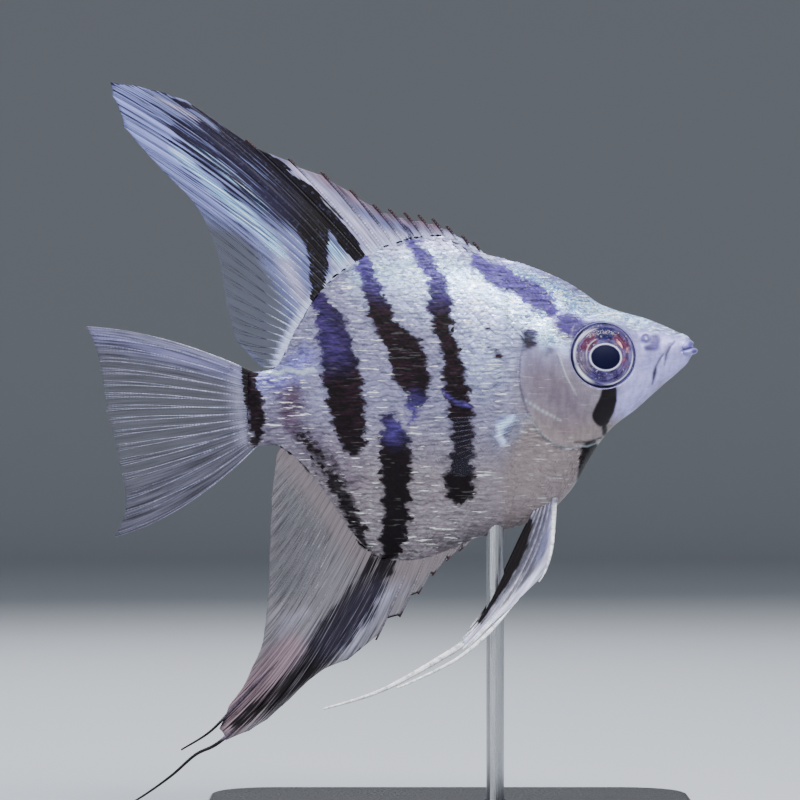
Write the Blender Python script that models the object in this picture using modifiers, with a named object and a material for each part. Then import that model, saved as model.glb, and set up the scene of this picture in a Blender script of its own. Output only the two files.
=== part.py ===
"""Clown angelfish, a life-size still model on a plain display stand.

The fish swims towards +X with its right side facing -Y, and +Z is up. The origin is the middle
of the stand's underside. All sizes below are in millimetres in the fish's own frame, whose zero
is a datum inside the trunk, on the line from snout to tail root. The finished meshes are turned
to metres and lifted onto the stand at the end.
"""

import math

import bmesh
import bpy
import numpy as np
from mathutils import Matrix, Vector

MM = 0.001
GAP = 0.3

# Side outline of head, trunk and tail stalk, as (x, height) pairs that a smooth curve joins
TAIL_ROOT_X = -25.9
BACK_LINE = (
    (32.6, 8.0), (32.2, 8.5), (30.9, 9.1), (29.4, 9.8), (27.0, 10.8), (21.9, 12.3), (20.2, 13.0),
    (18.2, 14.4), (16.2, 15.7), (13.5, 17.0), (6.7, 19.2), (0.7, 20.3), (-3.4, 20.2),
    (-7.4, 19.3), (-11.5, 17.5), (-14.8, 15.3), (-17.3, 12.9), (-20.0, 8.8), (-22.1, 5.5),
    (-24.0, 4.1), (-25.9, 3.8),
)
BELLY_LINE = (
    (32.6, 5.7), (32.2, 4.9), (31.0, 3.5), (25.6, -1.1), (20.6, -5.2), (19.4, -7.0),
    (16.5, -11.9), (14.3, -14.3), (11.5, -16.0), (4.7, -18.2), (-1.4, -20.1), (-5.0, -20.9),
    (-8.1, -20.8), (-10.8, -19.6), (-12.8, -17.5), (-16.5, -12.1), (-18.6, -9.3),
    (-20.8, -7.0), (-22.9, -6.1), (-25.9, -6.2),
)
HALF_WIDTH_LINE = (
    (32.6, 0.75), (32.2, 1.2), (31.2, 1.65), (28.0, 2.7), (24.0, 3.8), (20.0, 4.6),
    (15.0, 5.2), (9.0, 5.4), (2.0, 5.3), (-5.0, 4.6), (-12.0, 3.5), (-18.0, 2.4),
    (-22.0, 1.8), (-25.9, 1.35),
)
SIDE_POWER = 1.3
RING_POINTS = 28
SNOUT_STATIONS = (32.6, 32.4, 32.0, 31.4)
HEAD_STATION_X, HEAD_STEP = 30.5, 1.2
TRUNK_STATION_X, TRUNK_STEP = 9.0, 1.5

# Rear edge of the gill cover, from above the nape to below the throat, where head and trunk part
GILL_EDGE = (
    (15.4, 22.0), (12.9, 14.5), (10.3, 9.0), (9.2, 4.0), (9.9, -0.5), (12.2, -4.7),
    (15.0, -6.3), (18.0, -6.2), (20.3, -5.5), (22.5, -7.5),
)
GILL_FLARE = 0.4
FLARE_START_X, FLARE_RUN = 20.0, 8.0
HEAD_ROOM = ((42.5, -9.0), (42.5, 25.0), (16.0, 25.0))
CHEEK_EDGE = ((14.2, 6.6), (15.3, 2.4), (17.2, -0.9), (20.6, -2.4))
CHEEK_RADII = (0.32, 0.22)
STALK_CUT_X = -19.8
CUTTER_DEPTH = 12.0
CUTTER_REACH = 30.0

# Eyes and the small forms of the head
EYE_X, EYE_Z = 20.6, 6.1
EYE_RADIUS = 4.3
EYE_HALF_DEPTH = 1.35
EYE_OUT = 3.75
EYE_FORWARD, EYE_UPWARD = 8.0, 7.0
ORBIT_RIM = 0.75
ORBIT_HALF_DEPTH = 1.2
NOSTRIL = (26.4, 8.4)
NOSTRIL_RADIUS = 0.42
NOSTRIL_RIM = (0.75, 0.35, 0.75)
NOSTRIL_DEPTH = 0.5
MOUTH_CORNER = (31.2, 6.6)
MOUTH_FRONT = (33.3, 7.2)
MOUTH_SLIT = 0.3
# Radius, front x and front height of each lip's roll
UPPER_LIP = (0.42, 32.45, 7.75)
LOWER_LIP = (0.6, 33.05, 6.42)
LIP_RISE = 0.9
LIP_TURN = (0.75, 0.6)
LIP_INSET = 0.4

# Median fins. A ray is (root x, tip x, tip height). Soft rays follow the guide rows
# (share across the fin, tip x, tip height, lean at the root, lean at the tip), leans in
# degrees from the line that points straight to the tail.
DORSAL_SPINES = (
    (4.3, 3.1, 21.3), (3.2, 1.6, 22.2), (2.0, -0.5, 23.5), (0.7, -2.4, 24.5),
    (-0.8, -4.3, 25.0), (-2.3, -6.2, 25.3), (-3.8, -8.3, 25.8), (-5.2, -10.4, 26.4),
    (-6.6, -13.5, 28.4), (-8.0, -17.4, 30.8), (-9.4, -21.8, 32.6), (-10.7, -27.6, 35.2),
)
DORSAL_SOFT_ROOTS = (-11.8, -22.6)
DORSAL_SOFT_RAYS = 22
DORSAL_GUIDE = (
    (0.00, -35.9, 40.8, 54, 39), (0.05, -40.2, 42.4, 55, 31), (0.10, -43.5, 43.2, 54, 29),
    (0.15, -45.9, 42.7, 52, 27), (0.20, -44.9, 39.9, 51, 29), (0.26, -43.9, 36.6, 49, 32),
    (0.36, -40.3, 32.4, 46, 35), (0.48, -34.4, 26.6, 42, 36), (0.60, -31.6, 20.2, 37, 33),
    (0.74, -30.6, 13.4, 31, 29), (0.88, -28.9, 7.8, 25, 22), (1.00, -25.4, 4.4, 16, 12),
)
ANAL_SPINES = (
    (2.8, 1.2, -20.4), (1.6, -0.5, -21.7), (0.3, -2.4, -23.7), (-1.3, -4.3, -26.2),
    (-3.1, -6.8, -29.3), (-5.1, -10.0, -32.4),
)
ANAL_SOFT_ROOTS = (-6.8, -22.6)
ANAL_SOFT_RAYS = 23
ANAL_GUIDE = (
    (0.00, -13.9, -35.2, 68, 52), (0.05, -17.9, -36.9, 67, 48), (0.10, -20.6, -39.4, 66, 46),
    (0.15, -24.3, -42.9, 65, 44), (0.20, -27.8, -45.6, 64, 42), (0.25, -31.2, -46.4, 63, 40),
    (0.30, -31.6, -43.6, 61, 42), (0.36, -28.4, -39.4, 60, 44), (0.44, -25.8, -34.0, 58, 46),
    (0.54, -24.8, -28.2, 56, 47), (0.68, -24.6, -21.0, 55, 48), (0.84, -24.2, -13.2, 58, 56),
    (1.00, -23.4, -7.4, 64, 66),
)
ANAL_FILAMENTS = (
    ((-22.5, -37.0), (-26.5, -42.0), (-31.2, -46.3), (-34.4, -48.0), (-37.6, -50.8),
     (-41.0, -53.3), (-44.6, -55.6)),
    ((-23.2, -35.2), (-26.6, -38.8), (-29.6, -42.0), (-32.6, -45.0), (-36.4, -47.4)),
)
FILAMENT_RADII = (0.5, 0.24)

# Tail fin: guide rows run from the upper edge to the lower one
TAIL_RAYS = 16
TAIL_ROWS = 6
TAIL_ROOTS = ((-25.9, 3.4), (-25.9, -6.0))
TAIL_GUIDE = (
    (0.00, -50.0, 10.1, 27, 3), (0.06, -49.2, 8.9, 24, 2), (0.20, -47.9, 5.6, 15, 1),
    (0.40, -47.1, 0.6, 1, -3), (0.60, -46.2, -4.6, -12, -8), (0.80, -44.6, -10.6, -26, -14),
    (0.92, -44.2, -15.2, -39, -18), (1.00, -45.9, -18.8, -47, -15),
)

# Paired fins of the right side
BREAST_FIN_ROOTS = ((9.0, -1.9), (8.0, -5.7))
BREAST_FIN_RAYS = 12
BREAST_FIN_ROWS = 5
BREAST_FIN_GUIDE = (
    (0.00, -7.2, -2.4, -4, 2), (0.20, -8.0, -4.4, -9, -4), (0.45, -6.6, -7.2, -18, -11),
    (0.75, -2.4, -9.9, -31, -25), (1.00, 2.4, -10.2, -44, -40),
)
BREAST_FIN_OUT = (5.9, 8.3)
BREAST_LOBE = (1.2, 0.8, 2.1)
BELLY_FIN_ROOTS = ((13.9, -14.6), (11.2, -16.1))
BELLY_SPINE = (11.9, -24.4, 84, 52)
BELLY_FIN_GUIDE = (
    (0.00, 2.4, -33.0, 82, 42), (0.25, 1.4, -33.6, 81, 42), (0.50, 2.0, -32.4, 80, 44),
    (0.75, 3.2, -30.7, 78, 48), (1.00, 4.8, -28.4, 76, 54),
)
BELLY_FIN_RAYS = 5
BELLY_FIN_ROWS = 10
BELLY_FIN_FRONT = 0.2
BELLY_FIN_OUT = (1.5, 3.6)
BELLY_FIN_OUT_LIMIT = 1.3
# The spine's own web runs down the first soft ray for this share of it, sunk between two rays
SPINE_WEB_SHARE = 0.5
SPINE_WEB_NOTCH = 0.3
SPINE_WEB_HALF = (0.2, 0.2, 0.2)
BELLY_FIN_TURN_Z = -28.0
BELLY_FILAMENT_RIGHT = (
    (8.6, -27.4), (6.2, -29.8), (4.0, -32.0), (1.9, -34.1), (-0.8, -36.0), (-3.6, -37.2),
    (-7.8, -38.9),
)
BELLY_FILAMENT_LEFT = (
    (8.2, -26.8), (5.6, -29.4), (2.6, -32.0), (-0.2, -34.1), (-3.2, -35.9), (-6.6, -38.0),
    (-11.5, -39.8), (-14.8, -41.2), (-17.2, -42.1),
)

# Half thicknesses of a fin at the root, in its field and near its tips
RAY_HALF = (0.62, 0.42, 0.26)
WEB_HALF = (0.58, 0.27, 0.25)
SPINE_NOTCH = 0.16
SOFT_NOTCH = 0.045
SPINE_BEND = 4.0
ROOT_SINK = 1.5
MEDIAN_ROWS = 7

# The tail end swings a little to the left
SWAY_START_X = -8.0
SWAY_RATE = 0.0026

# Display stand
FISH_HEIGHT = 59.0
BASE_LENGTH, BASE_WIDTH, BASE_HEIGHT = 66.0, 42.0, 5.0
BASE_CORNER = 9.0
BASE_EDGE = 0.9
ROD_X = 6.1
ROD_RADIUS = 1.2
ROD_IN_BELLY = 5.0
ROD_IN_BASE = 3.0
ROD_SIDES = 20
CORNER_STEPS = 6
SOCKET_REACH = 2.0


def clear_scene():
    """Removes the objects that the scene starts with."""
    for obj in list(bpy.data.objects):
        bpy.data.objects.remove(obj)


def curve_through(knots):
    """A function of x whose graph is a smooth curve through (x, value) knots."""
    xs, values = np.array(sorted(knots), float).T
    steps = np.diff(xs)
    rates = np.diff(values) / steps
    slopes = np.empty(len(xs))
    slopes[0], slopes[-1] = rates[0], rates[-1]
    slopes[1:-1] = (steps[:-1] * rates[1:] + steps[1:] * rates[:-1]) / (steps[:-1] + steps[1:])

    def value(x):
        x = min(max(x, xs[0]), xs[-1])
        i = int(min(max(np.searchsorted(xs, x) - 1, 0), len(xs) - 2))
        h = steps[i]
        t = (x - xs[i]) / h
        rise = (3 - 2 * t) * t * t
        return float(
            values[i] * (1 - rise)
            + values[i + 1] * rise
            + h * slopes[i] * t * (1 - t) ** 2
            - h * slopes[i + 1] * t * t * (1 - t)
        )

    return value


back = curve_through(BACK_LINE)
belly = curve_through(BELLY_LINE)
half_width = curve_through(HALF_WIDTH_LINE)


def side_of_body(x, z):
    """Half width of the body at a place of its side view."""
    middle = (back(x) + belly(x)) / 2
    half_height = (back(x) - belly(x)) / 2
    level = min(abs(z - middle) / half_height, 0.999)
    return half_width(x) * (1 - level**2) ** (SIDE_POWER / 2)


def path_through(points, steps):
    """Points of a smooth curve through the given ones, with some steps in each span."""
    points = [np.array(p, float) for p in points]
    ends = [2 * points[0] - points[1], *points, 2 * points[-1] - points[-2]]
    found = []
    for a, b, c, d in zip(ends, ends[1:], ends[2:], ends[3:]):
        for t in np.arange(steps) / steps:
            found.append(
                0.5 * (2 * b + (c - a) * t + (2 * a - 5 * b + 4 * c - d) * t**2
                       + (3 * b - a - 3 * c + d) * t**3)
            )
    return [*found, points[-1]]


def make_material(name, colour, roughness, metallic=0.0):
    """A plain finish for one kind of part."""
    material = bpy.data.materials.new(name)
    material.use_nodes = True
    shader = material.node_tree.nodes["Principled BSDF"]
    shader.inputs["Base Color"].default_value = (*colour, 1.0)
    shader.inputs["Roughness"].default_value = roughness
    shader.inputs["Metallic"].default_value = metallic
    return material


def object_of(name, mesh):
    """Links a mesh into the scene as an object of that name."""
    obj = bpy.data.objects.new(name, mesh)
    bpy.context.scene.collection.objects.link(obj)
    return obj


def evaluated_copy(obj, name):
    """A plain mesh object with obj's modifiers or curve bevel applied, and obj removed."""
    bpy.context.view_layer.update()
    graph = bpy.context.evaluated_depsgraph_get()
    mesh = bpy.data.meshes.new_from_object(obj.evaluated_get(graph))
    matrix = obj.matrix_world.copy()
    bpy.data.objects.remove(obj)
    mesh.transform(matrix)
    return object_of(name, mesh)


def as_triangles(obj, weld=1e-5):
    """Welds near points and splits every face into triangles."""
    work = bmesh.new()
    work.from_mesh(obj.data)
    bmesh.ops.remove_doubles(work, verts=work.verts, dist=weld)
    bmesh.ops.triangulate(work, faces=work.faces)
    work.to_mesh(obj.data)
    work.free()
    return obj


def keep_largest(obj):
    """Drops every loose surface but the one that holds most."""
    work = bmesh.new()
    work.from_mesh(obj.data)
    left = set(work.verts)
    shells = []
    while left:
        shell, edge_of_shell = set(), [next(iter(left))]
        while edge_of_shell:
            vertex = edge_of_shell.pop()
            if vertex not in shell:
                shell.add(vertex)
                edge_of_shell.extend(e.other_vert(vertex) for e in vertex.link_edges)
        left -= shell
        shells.append(shell)
    size = {
        i: abs(sum(v.co.dot(v.normal) for v in shell)) + len(shell)
        for i, shell in enumerate(shells)
    }
    largest = shells[max(size, key=size.get)]
    bmesh.ops.delete(work, geom=[v for v in work.verts if v not in largest], context="VERTS")
    work.to_mesh(obj.data)
    work.free()
    return obj


def fuse(name, pieces, solver="MANIFOLD"):
    """One closed body out of pieces that overlap."""
    first, others = pieces[0], pieces[1:]
    group = bpy.data.collections.new(name + "_pieces")
    for piece in others:
        group.objects.link(piece)
    union = first.modifiers.new("join", "BOOLEAN")
    union.operation = "UNION"
    union.operand_type = "COLLECTION"
    union.collection = group
    union.solver = solver
    joined = evaluated_copy(first, name)
    for piece in others:
        bpy.data.objects.remove(piece)
    bpy.data.collections.remove(group)
    return keep_largest(joined)


def carve(obj, cutter, operation="DIFFERENCE", solver="EXACT"):
    """obj less the cutter, or what they share. The cutter stays."""
    name = obj.name
    cut = obj.modifiers.new("carve", "BOOLEAN")
    cut.operation = operation
    cut.object = cutter
    cut.solver = solver
    obj.name = name + "_uncut"
    return keep_largest(evaluated_copy(obj, name))


def loft(name, rings):
    """A closed skin over rings of points, with a flat cap at each end."""
    work = bmesh.new()
    rows = [[work.verts.new(p) for p in ring] for ring in rings]
    for low, high in zip(rows, rows[1:]):
        for i in range(len(low)):
            k = (i + 1) % len(low)
            work.faces.new((low[i], low[k], high[k], high[i]))
    work.faces.new(rows[0][::-1])
    work.faces.new(rows[-1])
    bmesh.ops.recalc_face_normals(work, faces=work.faces)
    mesh = bpy.data.meshes.new(name)
    work.to_mesh(mesh)
    work.free()
    return as_triangles(object_of(name, mesh))


def flared_width(x, flare):
    """Half width of the body, swollen by flare towards the gill cover's rear edge."""
    rise = min(max((FLARE_START_X - x) / FLARE_RUN, 0.0), 1.0)
    return half_width(x) + flare * rise * rise * (3 - 2 * rise)


def body_ring(x, grow, flare):
    """One cross section of the body, grown outwards by grow."""
    middle = (back(x) + belly(x)) / 2
    half_height = (back(x) - belly(x)) / 2 + grow
    width = flared_width(x, flare) + grow
    ring = []
    for turn in np.arange(RING_POINTS) * 2 * math.pi / RING_POINTS:
        side = math.cos(turn)
        ring.append((x, math.copysign(abs(side) ** SIDE_POWER, side) * width,
                     middle + half_height * math.sin(turn)))
    return ring


def body_solid(name, grow=0.0, flare=0.0):
    """Head, trunk and tail stalk as one lofted body."""
    head = np.arange(HEAD_STATION_X, TRUNK_STATION_X, -HEAD_STEP)
    trunk = np.arange(TRUNK_STATION_X, TAIL_ROOT_X + TRUNK_STEP / 3, -TRUNK_STEP)
    stations = [*SNOUT_STATIONS, *head, *trunk, TAIL_ROOT_X]
    rings = [body_ring(x, grow, flare) for x in stations]
    if grow:
        rings[0] = [(x + grow, y, z) for x, y, z in rings[0]]
        rings[-1] = [(x - grow, y, z) for x, y, z in rings[-1]]
    return loft(name, rings)


def prism(name, outline, half_depth=CUTTER_DEPTH):
    """A flat outline in the side plane, as deep as half_depth on each side of it."""
    rings = [[(x, y, z) for x, z in outline] for y in (-half_depth, half_depth)]
    return loft(name, rings)


def head_region(name, grow):
    """Everything ahead of the gill edge, moved back by grow."""
    edge = path_through(GILL_EDGE, 3)
    moved = []
    for before, here, after in zip([edge[0], *edge], edge, [*edge[1:], edge[-1]]):
        along = (after - before) / np.linalg.norm(after - before)
        moved.append(tuple(here + grow * np.array((along[1], -along[0]))))
    return prism(name, [*moved, *HEAD_ROOM])


def tube(name, points, radii, sides=3):
    """A round rod through points, whose radius runs from radii[0] to radii[1]."""
    curve = bpy.data.curves.new(name, "CURVE")
    curve.dimensions = "3D"
    curve.bevel_depth = 1.0
    curve.bevel_resolution = sides - 2
    curve.use_fill_caps = True
    spline = curve.splines.new("POLY")
    spline.points.add(len(points) - 1)
    for i, point in enumerate(points):
        share = i / (len(points) - 1)
        spline.points[i].co = (*point, 1.0)
        spline.points[i].radius = radii[0] * (1 - share) + radii[1] * share
    obj = bpy.data.objects.new(name, curve)
    bpy.context.scene.collection.objects.link(obj)
    return as_triangles(evaluated_copy(obj, name), weld=1e-3)


def ellipsoid(name, centre, radii, segments=20, rings=10, lean=Matrix.Identity(4)):
    """A closed round body with its poles on the y axis, leaned by a rotation."""
    work = bmesh.new()
    turn = Matrix.Rotation(math.pi / 2, 4, "X")
    shape = Matrix.Translation(centre) @ lean @ Matrix.Diagonal((*radii, 1.0)) @ turn
    bmesh.ops.create_uvsphere(work, u_segments=segments, v_segments=rings, radius=1.0, matrix=shape)
    mesh = bpy.data.meshes.new(name)
    work.to_mesh(mesh)
    work.free()
    return as_triangles(object_of(name, mesh))


def mirrored(obj, name):
    """The same form on the other side of the fish."""
    mesh = obj.data.copy()
    mesh.transform(Matrix.Diagonal((1.0, -1.0, 1.0, 1.0)))
    mesh.flip_normals()
    return object_of(name, mesh)


def ray_line(root, tip, root_lean, tip_lean):
    """A function of t from 0 at a ray's sunken root to 1 at its tip, giving (x, z)."""
    def heading(degrees):
        return np.array((-math.cos(math.radians(degrees)), math.sin(math.radians(degrees))))

    start = np.array(root, float) - heading(root_lean) * ROOT_SINK
    end = np.array(tip, float)
    reach = np.linalg.norm(end - start) / 3
    first, second = start + heading(root_lean) * reach, end - heading(tip_lean) * reach

    def point(t):
        s = 1 - t
        return s**3 * start + 3 * s * s * t * first + 3 * s * t * t * second + t**3 * end

    return point


def guide_at(guide, share):
    """Tip x, tip height and leans of the soft ray at a share of the way across a fin."""
    columns = np.array(guide, float).T
    return [float(np.interp(share, columns[0], column)) for column in columns[1:]]


def roots_along(line, first_x, last_x, count):
    """Evenly spaced places on an outline between two x values."""
    xs = np.linspace(first_x, last_x, 120)
    points = np.array([(x, line(x)) for x in xs])
    run = np.concatenate([[0.0], np.cumsum(np.linalg.norm(np.diff(points, axis=0), axis=1))])
    at = np.linspace(0.0, run[-1], count)
    return [(np.interp(a, run, points[:, 0]), np.interp(a, run, points[:, 1])) for a in at]


def taper(values, t):
    """Half thickness at t of the way from a fin's root to its tip."""
    return float(np.interp(t, (0.0, 0.35, 1.0), values))


def fin_sheet(name, rays, notches, rows, out=None, last_half=RAY_HALF):
    """A fin as one membrane with a ridge on both faces along every ray.

    rays are functions from ray_line. notches say how far short of the tips the web between
    each two rays ends. out gives y at a point (x, z) and share t; a median fin stays at 0.
    last_half is the last ray's half thickness, less where it lies inside another sheet.
    """
    columns = []
    for i, ray in enumerate(rays):
        columns.append((ray, RAY_HALF if ray is not rays[-1] else last_half))
        if i + 1 < len(rays):
            columns.append((
                lambda t, a=ray, b=rays[i + 1], k=1 - notches[i]: (a(k * t) + b(k * t)) / 2,
                WEB_HALF,
            ))
    shares = [j / rows for j in range(rows + 1)]
    work = bmesh.new()
    grid, half = [], []
    for line, halves in columns:
        column = []
        for t in shares:
            x, z = line(t)
            y = out(x, z, t) if out else 0.0
            column.append(work.verts.new((x, y, z)))
            half.append(taper(halves, t))
        grid.append(column)
    for left, right in zip(grid, grid[1:]):
        for j in range(rows):
            work.faces.new((left[j], right[j], right[j + 1]))
            work.faces.new((left[j], right[j + 1], left[j + 1]))
    mesh = bpy.data.meshes.new(name)
    work.to_mesh(mesh)
    work.free()
    sheet = object_of(name + "_sheet", mesh)
    thickest = max(half)
    weights = sheet.vertex_groups.new(name="thickness")
    for index, value in enumerate(half):
        weights.add([index], value / thickest, "REPLACE")
    solid = sheet.modifiers.new("thickness", "SOLIDIFY")
    solid.thickness = 2 * thickest
    solid.offset = 0.0
    solid.vertex_group = weights.name
    solid.use_rim = True
    fin = as_triangles(evaluated_copy(sheet, name), weld=1e-4)
    return facing_out(fin)


def facing_out(obj):
    """Turns the faces of a closed mesh outwards."""
    work = bmesh.new()
    work.from_mesh(obj.data)
    bmesh.ops.recalc_face_normals(work, faces=work.faces)
    if work.calc_volume(signed=True) < 0:
        bmesh.ops.reverse_faces(work, faces=work.faces)
    work.to_mesh(obj.data)
    work.free()
    return obj


def median_fin(name, line, spines, soft_roots, soft_count, guide, side):
    """A dorsal or anal fin: spines first, then soft rays. side is 1 above and -1 below."""
    rays, notches = [], []
    for root_x, tip_x, tip_z in spines:
        rise = abs(tip_z - line(root_x))
        lean = side * math.degrees(math.atan2(rise, root_x - tip_x))
        rays.append(ray_line((root_x, line(root_x)), (tip_x, tip_z), lean + side * SPINE_BEND,
                             lean - side * SPINE_BEND))
        notches.append(SPINE_NOTCH)
    notches[-1] = SOFT_NOTCH
    roots = roots_along(line, *soft_roots, soft_count)
    for i, root in enumerate(roots):
        tip_x, tip_z, root_lean, tip_lean = guide_at(guide, i / (soft_count - 1))
        rays.append(ray_line(root, (tip_x, tip_z), side * root_lean, side * tip_lean))
        notches.append(SOFT_NOTCH)
    return fin_sheet(name, rays, notches, MEDIAN_ROWS)


def make_dorsal_fin():
    """The tall fin on the back, swept to a fringed point."""
    return median_fin("dorsal_fin", back, DORSAL_SPINES, DORSAL_SOFT_ROOTS, DORSAL_SOFT_RAYS,
                      DORSAL_GUIDE, 1)


def make_anal_fin():
    """The keel-like fin below, with its two trailing filaments."""
    sail = median_fin("anal_sail", belly, ANAL_SPINES, ANAL_SOFT_ROOTS, ANAL_SOFT_RAYS,
                      ANAL_GUIDE, -1)
    threads = []
    for i, route in enumerate(ANAL_FILAMENTS):
        points = [(x, 0.0, z) for x, z in path_through(route, 2)]
        threads.append(tube(f"anal_thread_{i}", points, FILAMENT_RADII))
    return fuse("anal_fin", [sail, *threads])


def make_tail_fin():
    """The fan at the tail root, with a slightly hollow rear margin."""
    upper, lower = (np.array(p) for p in TAIL_ROOTS)
    rays = []
    for i in range(TAIL_RAYS):
        share = i / (TAIL_RAYS - 1)
        tip_x, tip_z, root_lean, tip_lean = guide_at(TAIL_GUIDE, share)
        rays.append(ray_line(upper + (lower - upper) * share, (tip_x, tip_z), root_lean, tip_lean))
    return fin_sheet("tail_fin", rays, [SOFT_NOTCH] * TAIL_RAYS, TAIL_ROWS)


def make_breast_fin():
    """The right pectoral fin: a fleshy lobe with a small clear fan held off the flank."""
    upper, lower = (np.array(p) for p in BREAST_FIN_ROOTS)
    near, far = BREAST_FIN_OUT
    rays = []
    for i in range(BREAST_FIN_RAYS):
        share = i / (BREAST_FIN_RAYS - 1)
        tip_x, tip_z, root_lean, tip_lean = guide_at(BREAST_FIN_GUIDE, share)
        root = upper + (lower - upper) * share
        rays.append(ray_line(root, (tip_x, tip_z), root_lean, tip_lean))
    fan = fin_sheet("fan", rays, [SOFT_NOTCH] * BREAST_FIN_RAYS, BREAST_FIN_ROWS,
                    out=lambda x, z, t: -(near + (far - near) * math.sin(t * math.pi / 2)))
    middle_x, middle_z = (upper + lower) / 2
    lobe = ellipsoid("lobe", (middle_x, -side_of_body(middle_x, middle_z), middle_z), BREAST_LOBE,
                     segments=12, rings=6)
    return fuse("pectoral_fin_right", [fan, lobe])


def make_belly_fin(name, filament, side):
    """A pelvic fin: stout spine, narrow blade and one long filament. side is -1 on the right."""
    front, rear = (np.array(p) for p in BELLY_FIN_ROOTS)
    near, far = BELLY_FIN_OUT
    top = front[1]

    def out(x, z, t):
        share = min(max((top - z) / (top - BELLY_FIN_TURN_Z), 0.0), BELLY_FIN_OUT_LIMIT)
        return side * (near + (far - near) * share)

    rays = []
    for i in range(BELLY_FIN_RAYS):
        share = i / (BELLY_FIN_RAYS - 1)
        tip_x, tip_z, root_lean, tip_lean = guide_at(BELLY_FIN_GUIDE, share)
        root = front + (rear - front) * (BELLY_FIN_FRONT + (1 - BELLY_FIN_FRONT) * share)
        rays.append(ray_line(root, (tip_x, tip_z), -root_lean, -tip_lean))
    blade = fin_sheet(name + "_blade", rays, [SOFT_NOTCH] * BELLY_FIN_RAYS, BELLY_FIN_ROWS, out=out)

    def web_edge(t):
        return (rays[0](SPINE_WEB_SHARE * t) + rays[1](SPINE_WEB_SHARE * t)) / 2

    tip_x, tip_z, root_lean, tip_lean = BELLY_SPINE
    spine_line = ray_line(front, (tip_x, tip_z), -root_lean, -tip_lean)
    spine = fin_sheet(name + "_spine", [spine_line, web_edge], [SPINE_WEB_NOTCH], BELLY_FIN_ROWS,
                      out=out, last_half=SPINE_WEB_HALF)
    points = [(x, out(x, z, 0.0), z) for x, z in path_through(filament, 2)]
    return fuse(name, [blade, spine, tube(name + "_thread", points, FILAMENT_RADII)])


def make_lip(name, lip, rise):
    """One lip: a rounded roll from one mouth corner round the front to the other."""
    radius, front_x, front_z = lip
    corner_x, corner_z = MOUTH_CORNER
    half_gape = side_of_body(*MOUTH_CORNER)
    forward, inward = LIP_TURN
    corner = np.array((corner_x, half_gape - radius * LIP_INSET, corner_z + rise * radius))
    front = np.array((front_x, 0.0, front_z))
    turn = corner + (front - corner) * forward
    turn[1] = half_gape * inward
    half = [tuple(corner), tuple(turn), tuple(front)]
    other = [(x, -y, z) for x, y, z in half[-2::-1]]
    route = path_through([*half, *other], 3)
    return tube(name, route, (radius, radius), sides=4)


def make_head():
    """The head ahead of the gill edge, with lips, nostrils, orbits and gill cover ridges."""
    head = body_solid("head_core", flare=GILL_FLARE)
    region = head_region("head_room", 0.0)
    head = carve(head, region, "INTERSECT")
    bpy.data.objects.remove(region)
    pieces = [head, make_lip("upper_lip", UPPER_LIP, LIP_RISE), make_lip("lower_lip", LOWER_LIP, -LIP_RISE)]
    for side in (-1, 1):
        ridge = [(x, side * (side_of_body(x, z) + GILL_FLARE * 0.4), z)
                 for x, z in path_through(CHEEK_EDGE, 3)]
        pieces.append(tube(f"cheek_{side}", ridge, CHEEK_RADII))
        x, z = NOSTRIL
        pieces.append(ellipsoid(f"nostril_{side}", (x, side * side_of_body(x, z), z), NOSTRIL_RIM,
                                segments=12, rings=8))
        pieces.append(eye_form(f"orbit_{side}", side, ORBIT_RIM, ORBIT_HALF_DEPTH))
    head = fuse("head", pieces)
    cutters = [mouth_slit()]
    for side in (-1, 1):
        cutters.append(eye_form(f"socket_{side}", side, GAP, EYE_HALF_DEPTH + GAP))
        x, z = NOSTRIL
        ends = [(x, side * (side_of_body(x, z) + out), z) for out in (-NOSTRIL_DEPTH, 3 * NOSTRIL_DEPTH)]
        cutters.append(tube(f"naris_{side}", ends, (NOSTRIL_RADIUS, NOSTRIL_RADIUS), sides=4))
    for cutter in cutters:
        head = carve(head, cutter)
        bpy.data.objects.remove(cutter)
    return head


def mouth_slit():
    """The thin wedge between the lips, open at the front."""
    (corner_x, corner_z), (front_x, front_z) = MOUTH_CORNER, MOUTH_FRONT
    outline = ((corner_x, corner_z), (front_x + 1.0, front_z - MOUTH_SLIT / 2),
               (front_x + 1.0, front_z + MOUTH_SLIT / 2))
    return prism("mouth_slit", outline)


def eye_form(name, side, grow, half_depth):
    """A flattened ball at an eye's place, grown by grow, facing a little ahead and upwards."""
    radius = EYE_RADIUS + grow
    lean = (Matrix.Rotation(-side * math.radians(EYE_FORWARD), 4, "Z")
            @ Matrix.Rotation(side * math.radians(EYE_UPWARD), 4, "X"))
    return ellipsoid(name, (EYE_X, side * EYE_OUT, EYE_Z), (radius, half_depth, radius), lean=lean)


def rod_form(name, low, high, grow):
    """The stand's upright rod between two heights, grown by grow."""
    work = bmesh.new()
    place = Matrix.Translation((ROD_X, 0.0, (low + high) / 2))
    bmesh.ops.create_cone(work, cap_ends=True, segments=ROD_SIDES, radius1=ROD_RADIUS + grow,
                          radius2=ROD_RADIUS + grow, depth=high - low, matrix=place)
    mesh = bpy.data.meshes.new(name)
    work.to_mesh(mesh)
    work.free()
    return object_of(name, mesh)


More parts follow.
